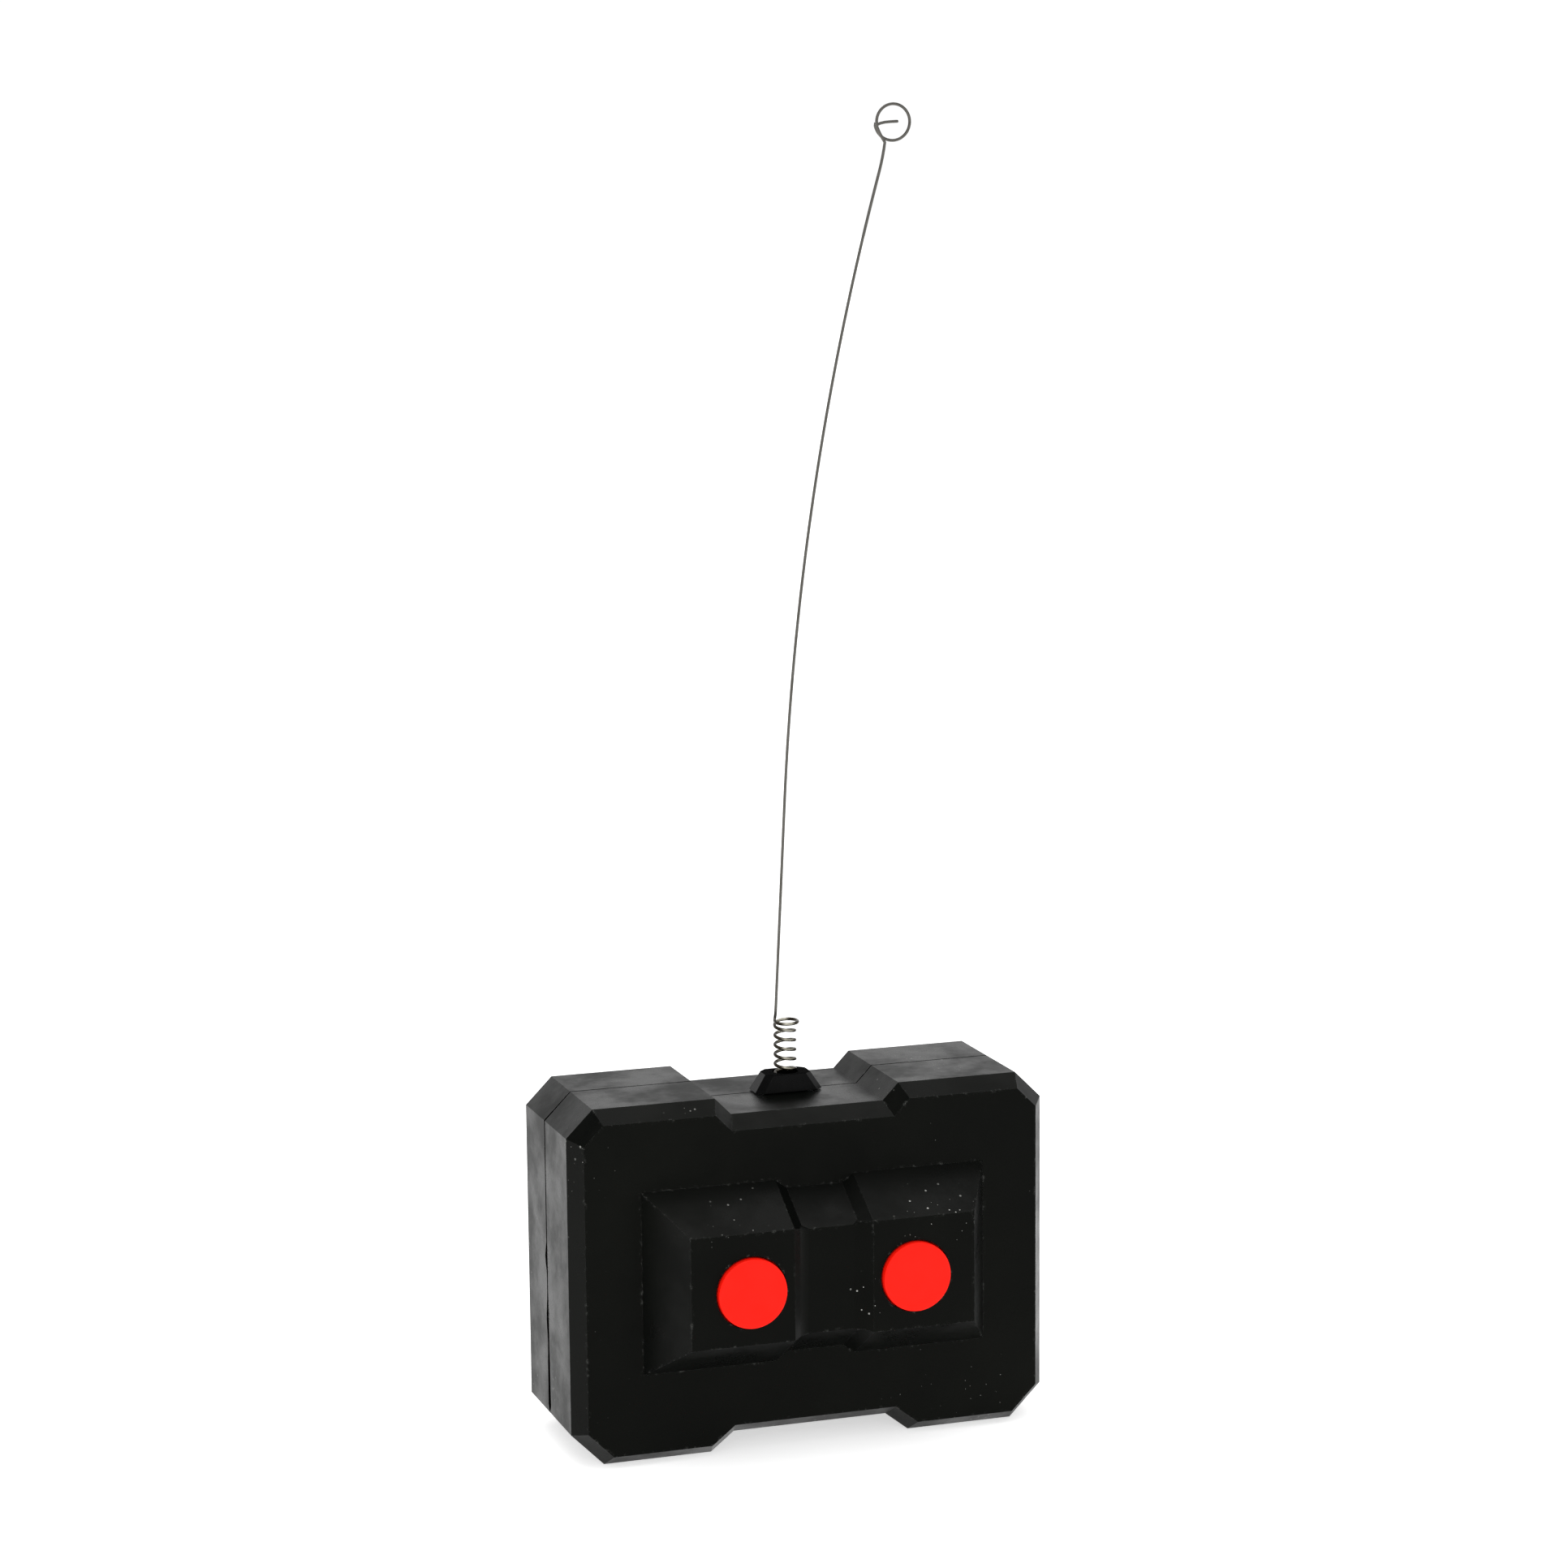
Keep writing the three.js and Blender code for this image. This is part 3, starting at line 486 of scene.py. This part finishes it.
def gloss_black():
    """Glossy sides with thumb smears; the top, under the coil, is dull."""
    base = (0.0015, 0.0016, 0.0016)
    s = Shader("gloss_black_plastic", base, 0.22, ior=1.16)
    smudge = s.ramp(s.noise(180, detail=4, roughness=0.6), 0.35, 0.7, 0.2, 0.38)
    top = s.ramp(s.axis("Z"), boss_top - 0.12 * MM, boss_top - 0.02 * MM)
    s.link(s.ramp(top, 0.0, 1.0, 1.16, 1.07), s.surface.inputs["IOR"])
    smudge = s.math("MAXIMUM", smudge, s.math("MULTIPLY", top, 0.85))
    rubbed = s.math("MULTIPLY", s.rounded_edge(), s.ramp(s.noise(700, detail=4), 0.45, 0.7))
    color = s.mix(rubbed, base, (0.010, 0.010, 0.010))
    s.bump(s.noise(900, detail=3), 0.12, 0.03 * MM)
    return s.finish(color, smudge)


def red_plastic():
    """Matt saturated red, a little paler along the rim: partly rubbed wear, partly painted
    highlight.
    """
    base = (1.0, 0.0090, 0.0026)
    s = Shader("red_button_plastic", base, 0.5, ior=1.2)
    tone = s.ramp(s.noise(160, detail=4, roughness=0.6), 0.3, 0.75)
    color = s.mix(tone, base, (0.94, 0.0078, 0.0020))
    # Paler patches along the rim: partly rubbed wear, partly painted highlight.
    rim_wear_and_highlight = s.math("MULTIPLY", s.edges(0.35 * MM), s.ramp(s.noise(600, detail=4), 0.35, 0.7))
    color = s.mix(s.math("MULTIPLY", rim_wear_and_highlight, 0.35), color, (0.98, 0.06, 0.04))
    rough = s.ramp(s.noise(300, detail=3), 0.3, 0.7, 0.42, 0.58)
    s.bump(s.noise(3000, detail=2), 0.2, 0.02 * MM)
    return s.finish(color, rough)


def metal(name, color, dark, roughness, scale=(1, 1, 1), grain=900):
    """Metal with fine drawn or rolled marks, dull patches and a little tarnish."""
    s = Shader(name, color, roughness, metallic=1.0)
    marks = s.noise(grain, detail=4, vector=s.stretched(scale))
    tarnish = s.ramp(s.noise(220, detail=5, roughness=0.65), 0.48, 0.75)
    shade = s.mix(s.math("MULTIPLY", tarnish, 0.55), color, dark)
    rough = s.ramp(marks, 0.3, 0.7, roughness * 0.75, roughness * 1.35)
    s.bump(marks, 0.15, 0.02 * MM)
    return s.finish(shade, rough)


def coil_metal():
    """Spring steel with painted shade: darker and browner away from the middle of the coil, where
    the side turns reflect little light.
    """
    steel = (0.36, 0.345, 0.29)
    s = Shader("coil_steel", steel, 0.26, metallic=1.0)
    aside = s.math("ABSOLUTE", s.math("SUBTRACT", s.axis("X"), antenna_x))
    # Painted shade on the turns at the coil's sides, growing with distance from the axis.
    painted_side_shade = s.ramp(aside, 0.25 * COIL_RADIUS, 0.8 * COIL_RADIUS)
    tarnish = s.ramp(s.noise(420, detail=5, roughness=0.65), 0.42, 0.72)
    shade = s.mix(s.math("MULTIPLY", tarnish, 0.6), steel, (0.16, 0.145, 0.095))
    shade = s.mix(s.math("MULTIPLY", painted_side_shade, 0.94), shade, (0.024, 0.018, 0.011))
    marks = s.noise(1400, detail=4)
    s.bump(marks, 0.15, 0.02 * MM)
    return s.finish(shade, s.ramp(marks, 0.3, 0.7, 0.2, 0.36))


def moulded(name, color, roughness, ior=1.45, grain=1500):
    """Small moulded or dipped piece with a slight mottle and orange peel."""
    s = Shader(name, color, roughness, ior=ior)
    tone = s.ramp(s.noise(260, detail=4, roughness=0.6), 0.3, 0.75)
    dark = tuple(c * 0.72 for c in color)
    rough = s.ramp(s.noise(400, detail=3), 0.3, 0.7, roughness * 0.85, min(1, roughness * 1.2))
    s.bump(s.noise(grain, detail=2), 0.2, 0.02 * MM)
    return s.finish(s.mix(tone, color, dark), rough)


def board_material():
    """Green solder mask over copper tracks, with the glass weave just visible."""
    green = (0.012, 0.11, 0.04)
    s = Shader("solder_mask", green, 0.4)
    tracks = s.node("ShaderNodeTexBrick", Scale=180, offset=0.37, squash=1.4)
    s.link(s.place, tracks.inputs["Vector"])
    tracks.inputs["Color1"].default_value = (*green, 1)
    tracks.inputs["Color2"].default_value = (0.010, 0.085, 0.032, 1)
    tracks.inputs["Mortar"].default_value = (0.03, 0.2, 0.07, 1)
    weave = s.noise(2400, detail=2, vector=s.stretched((1, 1, 0.15)))
    s.bump(weave, 0.2, 0.02 * MM)
    rough = s.ramp(s.noise(500, detail=3), 0.3, 0.7, 0.32, 0.5)
    return s.finish(tracks.outputs["Color"], rough)


satin_black = black_plastic()
boss_black = gloss_black()
red = red_plastic()
coil_steel = coil_metal()
whip_steel = metal("whip_steel", (0.105, 0.101, 0.092), (0.06, 0.055, 0.045), 0.3, grain=1400)
zinc = metal("zinc_plate", (0.56, 0.56, 0.54), (0.28, 0.27, 0.24), 0.34)
nickel = metal("nickel_plate", (0.60, 0.58, 0.53), (0.33, 0.30, 0.25), 0.3, scale=(1, 1, 6))
copper = metal("enamelled_copper", (0.62, 0.24, 0.10), (0.30, 0.09, 0.03), 0.3)
epoxy = moulded("moulded_epoxy", (0.011, 0.011, 0.012), 0.6)
resin = moulded("dipped_resin", (0.50, 0.27, 0.10), 0.35)
red_wire = moulded("red_insulation", (0.40, 0.012, 0.010), 0.5)
black_wire = moulded("black_insulation", (0.010, 0.010, 0.010), 0.5)
jacket = moulded("cell_jacket", (0.020, 0.032, 0.055), 0.3)
band = metal("cell_band", (0.62, 0.36, 0.16), (0.36, 0.19, 0.08), 0.24, scale=(1, 6, 6))
solder_mask = board_material()


def dress(obj, *materials):
    obj.data.materials.clear()
    for material in materials:
        obj.data.materials.append(material)


# ---------------------------------------------------------------- case

blockers = [
    tree_of(node)
    for node in ("front_shell", "rear_shell", "battery_door", "left_button", "right_button")
]


def on_parting_line(edge):
    return all(abs(v.co.y - parting_y) < 0.75 * MM for v in edge.verts)


# The left side's seam, in mm: its opening everywhere, and the height of the centre, half the
# length and the depth of each place where the shells part further.
SEAM_OPENING = 0.12
SEAM_BULGES = ((4.0, 7.0, 0.6), (12.0, 9.0, 0.4), (22.0, 5.0, 0.7), (32.6, 3.0, 0.9))


def seam_gap(z):
    """How far each shell's edge stands back at height z on the left side."""
    opened = SEAM_OPENING
    for centre, half, depth in SEAM_BULGES:
        reach = abs(z / MM - centre) / half
        if reach < 1:
            opened += depth * (0.5 + 0.5 * math.cos(math.pi * reach))
    return opened * MM


def open_seam(direction):
    """Part the left side's seam edge of a shell, towards its own side."""
    def reshape(bm):
        left = [
            e for e in bm.edges
            if on_parting_line(e)
            and all(v.co.x < front_low.x + 0.2 * MM for v in e.verts)
            and abs(e.verts[0].co.z - e.verts[1].co.z) > 10 * MM
        ]
        made = bmesh.ops.subdivide_edges(bm, edges=left, cuts=40)
        ends = {v for e in left for v in e.verts}
        between = {v for v in made["geom_inner"] if isinstance(v, bmesh.types.BMVert)}
        for v in ends | between:
            v.co.y += direction * seam_gap(v.co.z)
    return reshape


def case_piece(node, name, body, edge, reshape=None, hollow=0.0):
    piece = moulded_copy(node, name, edge, blockers, on_parting_line, 0.1 * MM, reshape, hollow)
    dress(piece, satin_black)
    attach(piece, body)
    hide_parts(node)


case_piece("front_shell", "front_case", "housing", 0.45 * MM, open_seam(-1), 1.0 * MM)
case_piece("rear_shell", "rear_case", "housing", 0.45 * MM, open_seam(1))
case_piece("battery_door", "door_panel", "door", 0.22 * MM)


def case_screw(node):
    piece = moulded_copy(node, f"{node}_head", 0.14 * MM, [tree_of(node)])
    dress(piece, zinc)
    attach(piece, "housing")
    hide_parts(node)


for height in ("lower", "upper"):
    for side in ("left", "right"):
        case_screw(f"case_screw_{height}_{side}")

# ---------------------------------------------------------------- cells


def dry_cell(node):
    """AA cell: crimped metal ends, a film jacket over the can and a bright band near the nub."""
    low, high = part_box(node)
    length = high.x - low.x
    radius = (high.z - low.z) / 2
    centre = (low + high) / 2
    mesh = frame["nodes"][node].data
    right_end = [v.co for v in mesh.vertices if v.co.x > high.x - 0.1 * MM]
    nub_right = all(abs(v.z - centre.z) < radius / 2 for v in right_end)
    shoulder = length - 1 * MM
    outline = [
        (0.0, 0.0),
        (radius * 0.72, 0.0),
        (radius * 0.76, 0.3 * MM),
        (radius * 0.88, 0.3 * MM),
        (radius * 0.93, 0.0),
        (radius, 0.5 * MM),
        (radius, shoulder - 0.4 * MM),
        (radius * 0.92, shoulder),
        (radius * 0.82, shoulder - 0.4 * MM),
        (radius * 0.42, shoulder - 0.3 * MM),
        (radius * 0.38, shoulder),
        (radius * 0.37, length - 0.1 * MM),
        (radius * 0.33, length),
        (0.0, length),
    ]
    base = Vector((low.x if nub_right else high.x, centre.y, centre.z))
    name = f"{node}_can"
    piece = turned(name, rounded(outline, 0.25 * MM), 72, base, "X" if nub_right else "-X")
    dress(piece, nickel, jacket, band)
    for polygon in piece.data.polygons:
        off_axis = math.hypot(polygon.center.y - centre.y, polygon.center.z - centre.z)
        along = abs(polygon.center.x - base.x)
        if off_axis > radius * 0.95:
            polygon.material_index = 2 if along > length * 0.72 else 1
    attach(piece, "housing")
    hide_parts(node)


dry_cell("upper_cell")
dry_cell("lower_cell")

# ---------------------------------------------------------------- buttons


CAP_RADIUS = 5.9 * MM
CAP_CROWN = 0.06 * MM
CAP_ROUNDING = 0.42 * MM
COLLAR_THICKNESS = 0.9 * MM
STEM_RADIUS = 1.7 * MM


def push_button(side):
    """Button with a slightly domed face, a collar behind the wall and a stem to its switch."""
    low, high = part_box(f"{side}_button")
    centre = (low + high) / 2
    flange_radius = (high.x - low.x) / 2
    flange_y = front_low.y + (WALL + CLEARANCE)
    depth = high.y - low.y
    flange = flange_y - low.y
    face = [(0.0, 0.0)]
    for i in range(1, 9):
        r = CAP_RADIUS * 0.93 * i / 8
        face.append((r, CAP_CROWN * (i / 8) ** 2))
    outline = face + [
        (CAP_RADIUS, 2 * CAP_CROWN),
        (CAP_RADIUS, flange),
        (flange_radius, flange),
        (flange_radius, flange + COLLAR_THICKNESS),
        (STEM_RADIUS, flange + COLLAR_THICKNESS),
        (STEM_RADIUS, depth),
        (0.0, depth),
    ]
    profile = rounded(outline, CAP_ROUNDING)
    piece = turned(f"{side}_button_cap", profile, 128, Vector((centre.x, low.y, centre.z)))
    dress(piece, red)
    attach(piece, f"{side}_key")
    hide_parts(f"{side}_button")


for side in ("left", "right"):
    push_button(side)

# ---------------------------------------------------------------- antenna

END_TURN = {"start": math.radians(187), "angle": math.radians(333), "drop": 0.75 * MM}
END_BULGE = 0.5 * MM
END_RISE = 0.45 * MM
COIL_HEIGHT = 10.1 * MM

# The tail's points and its elbow, as depths below the foot of the coil. The elbow stands off
# the axis by a share of the way out to the coil.
TAIL_DROPS = (6.0 * MM, 3.4 * MM, 0.8 * MM)
ELBOW_DROP = 0.15 * MM
ELBOW_SHARE = 0.35

coil_top = coil_high.z - COIL_WIRE_RADIUS
coil_base = coil_top - COIL_HEIGHT
coil_split = coil_low.z + COIL_WIRE_RADIUS


def turned_at(z):
    """Angle that the coil has turned through when it has come down to z."""
    drop = coil_top - z
    if drop < END_TURN["drop"]:
        return END_TURN["angle"] * drop / END_TURN["drop"]
    return END_TURN["angle"] + 2 * math.pi * (drop - END_TURN["drop"]) / COIL_PITCH


def coil_point(angle_turned):
    """Place on the coil, whose first turn bulges to the right and stands up at the rear."""
    share = min(angle_turned / END_TURN["angle"], 1)
    radius = COIL_RADIUS + END_BULGE * math.sin(math.pi * share)
    rest = max(angle_turned - END_TURN["angle"], 0)
    rise = END_RISE * math.sin(math.pi * share ** 2)
    z = coil_top + rise - END_TURN["drop"] * share - COIL_PITCH * rest / (2 * math.pi)
    angle = END_TURN["start"] + angle_turned
    return Vector((
        antenna_x + radius * math.cos(angle),
        parting_y + radius * math.sin(angle),
        z,
    ))


def coil_points(low, high, per_turn=30):
    """Points from height low up to height high."""
    first, last = turned_at(low), turned_at(high)
    count = max(2, round((first - last) / (2 * math.pi) * per_turn))
    return [coil_point(first + (last - first) * i / count) for i in range(count + 1)]


def antenna_boss():
    piece = moulded_copy("antenna_boss", "antenna_foot", 0.28 * MM, [tree_of("antenna_boss")])
    dress(piece, boss_black)
    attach(piece, "housing")
    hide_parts("antenna_boss")


def lower_coil():
    """Lower turns, with the tail that runs down through the boss."""
    first = coil_point(turned_at(coil_base))
    axis = Vector((antenna_x, parting_y, 0))
    tail = [axis + Vector((0, 0, coil_base - drop)) for drop in TAIL_DROPS]
    elbow = axis.lerp(Vector((first.x, first.y, 0)), ELBOW_SHARE)
    elbow.z = coil_base - ELBOW_DROP
    points = spline(tail + [elbow, first]) + coil_points(coil_base, coil_split)[1:]
    piece = swept("coil_lower_turns", points, COIL_WIRE_RADIUS)
    dress(piece, coil_steel)
    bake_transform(piece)
    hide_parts("antenna_coil_lower")


def upper_coil():
    points = coil_points(coil_split, coil_top)
    piece = swept("coil_upper_turns", points, COIL_WIRE_RADIUS)
    dress(piece, coil_steel)
    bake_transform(piece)
    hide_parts("antenna_coil_upper")


def whip_foot():
    """Bend from the end of the coil, which runs to the rear, up into the rod."""
    end = coil_point(0)
    offsets = [(-0.013, 0.31, 0.04), (0.007, 0.53, 0.2), (0.067, 0.57, 0.6), (0.107, 0.41, 1.2)]
    return [end] + [end + Vector(offset) * MM for offset in offsets]


def rod_points(start, stop_z):
    """The rod leans to the right, and past its straight part leans further with length."""
    lean_start, straight, bend_radius = math.radians(3.1), 36.0 * MM, 476.0 * MM
    step = 2.3 * MM
    points = [start]
    run = 0.0
    while points[-1].z < stop_z:
        lean = lean_start + max(0.0, run + step / 2 - straight) / bend_radius
        points.append(points[-1] + Vector((math.sin(lean), 0, math.cos(lean))) * step)
        run += step
    return points


def ring_points(centre, radius, depth, first, last, count=52):
    """Turn of the end ring between two angles, drifting to the rear by depth."""
    points = []
    for i in range(count + 1):
        angle = math.radians(first + (last - first) * i / count)
        across = Vector((math.cos(angle), 0, math.sin(angle))) * radius
        points.append(centre + across + Vector((0, depth * i / count, 0)))
    return points


def whip():
    """Rod and finger-safe ring; the wire's end crosses the ring behind its own start."""
    ring = Vector((21.1 * MM, parting_y, 220.8 * MM))
    neck = ring + Vector((-1.56, 0, -3.3)) * MM
    left = ring + Vector((-3.1, 0.02, -0.25)) * MM
    ring_radius = 3.0 * MM
    ring_depth = 0.85 * MM
    foot_rise = 1.9 * MM
    bend_height = 4.9 * MM
    foot = Vector((-1.0 * MM, parting_y, coil_top + foot_rise))
    rod = rod_points(foot, neck.z - bend_height)
    lead = rod[-1] + (rod[-1] - rod[-2]).normalized() * (neck.z - rod[-1].z) * 0.55
    bend = [rod[-1].lerp(lead, t).lerp(lead.lerp(neck, t), t) for t in (0.25, 0.5, 0.75, 1.0)]
    points = spline(whip_foot() + [foot], 5) + rod[1:] + bend
    for t, bow in ((0.3, 0.10), (0.6, 0.11), (0.85, 0.05)):
        points.append(neck.lerp(left, t) - Vector((bow * MM, 0, 0)))
    points += ring_points(ring, ring_radius, ring_depth, 176, -176)
    for x, z in ((-2.62, -0.42), (-2.0, -0.16), (-1.2, 0.0), (-0.2, 0.08), (1.0, 0.12)):
        points.append(ring + Vector((x * MM, ring_depth, z * MM)))
    piece = swept("whip_rod", points, WIRE_RADIUS, sides=12)
    dress(piece, whip_steel)
    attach(piece, "whip")
    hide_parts("antenna_whip")


antenna_boss()
lower_coil()
upper_coil()
whip()

# ---------------------------------------------------------------- remaining CAD nodes

NODE_MATERIALS = [
    ("board_screw", zinc),
    ("left_switch_cover", nickel),
    ("right_switch_cover", nickel),
    ("left_switch", epoxy),
    ("right_switch", epoxy),
    ("circuit_board", solder_mask),
    ("encoder_chip", epoxy),
    ("crystal", nickel),
    ("radio_transistor", epoxy),
    ("electrolytic_capacitor", jacket),
    ("disc_capacitor", resin),
    ("resistor", resin),
    ("tuning_coil", copper),
    ("bridge_", nickel),
    ("positive_contact", nickel),
    ("negative_contact", nickel),
    ("negative_spring", nickel),
    ("positive_lead", red_wire),
    ("negative_lead", black_wire),
    ("antenna_lead", black_wire),
    ("antenna_terminal", nickel),
]


def material_for(node):
    """Material of a CAD node that is shown as it is, or None if a piece replaces it."""
    for prefix, material in NODE_MATERIALS:
        if node.startswith(prefix):
            return material
    return None


for node, obj in frame["nodes"].items():
    material = material_for(node)
    if material:
        slots = obj.data.materials
        if not slots:
            slots.append(material)
        for index in range(len(slots)):
            slots[index] = material

# ---------------------------------------------------------------- stage, light and camera


def stage():
    size = 6.0
    floor = object_from(
        "floor",
        [(-size, -size, 0), (size, -size, 0), (size, size, 0), (-size, size, 0)],
        [(0, 1, 2, 3)],
    )
    s = Shader("pale_floor", (0.8, 0.8, 0.8), 0.75)
    s.surface.inputs["Emission Color"].default_value = (1, 1, 1, 1)
    s.surface.inputs["Emission Strength"].default_value = 0.6
    dress(floor, s.finish())


def light(name, size, power, place, target):
    data = bpy.data.lights.new(name, "AREA")
    data.shape = "RECTANGLE"
    data.size, data.size_y = size
    data.energy = power
    obj = new_object(name, data)
    obj.location = place
    obj.rotation_euler = (Vector(target) - Vector(place)).to_track_quat("-Z", "Y").to_euler()


def world():
    """White all round, dim above that, and a bright patch of ceiling right overhead."""
    made = bpy.data.worlds.new("studio")
    made.use_nodes = True
    tree = made.node_tree
    background = tree.nodes["Background"]
    background.inputs["Color"].default_value = (1, 1, 1, 1)
    place = tree.nodes.new("ShaderNodeTexCoord")
    split = tree.nodes.new("ShaderNodeSeparateXYZ")
    tree.links.new(place.outputs["Generated"], split.inputs[0])
    all_round = (0.4, 0.6, 1.04, 0.4)
    overhead = (0.72, 0.9, 0.0, 1.5)
    fades = []
    for low, high, low_out, high_out in (all_round, overhead):
        fade = tree.nodes.new("ShaderNodeMapRange")
        set_range(fade, low, high, low_out, high_out)
        tree.links.new(split.outputs["Z"], fade.inputs["Value"])
        fades.append(fade)
    total = tree.nodes.new("ShaderNodeMath")
    for fade, socket in zip(fades, total.inputs):
        tree.links.new(fade.outputs[0], socket)
    tree.links.new(total.outputs[0], background.inputs["Strength"])
    bpy.context.scene.world = made


def camera():
    """Camera at the left front, as high as the antenna's tip, looking slightly down."""
    data = bpy.data.cameras.new("camera")
    data.lens = 94.1
    data.sensor_width = 36
    obj = new_object("camera", data)
    pivot = Vector((0, parting_y, 30 * MM))
    azimuth, elevation, distance = math.radians(18.52), math.radians(15.89), 708.3 * MM
    out = Vector((
        -math.sin(azimuth) * math.cos(elevation),
        -math.cos(azimuth) * math.cos(elevation),
        math.sin(elevation),
    ))
    pan, tilt, roll = math.radians(-18.59), math.radians(90 - 9.42), math.radians(-0.53)
    turn = Matrix.Rotation(pan, 4, "Z") @ Matrix.Rotation(tilt, 4, "X")
    turn = turn @ Matrix.Rotation(roll, 4, "Z")
    obj.matrix_world = Matrix.Translation(pivot + out * distance) @ turn
    bpy.context.scene.camera = obj


stage()
world()
light("front_fill", size=(1.0, 0.7), power=4.5, place=(-0.5, -1.4, 0.9), target=(0, 0, 0.05))
camera()
bpy.context.scene.view_settings.view_transform = "Standard"
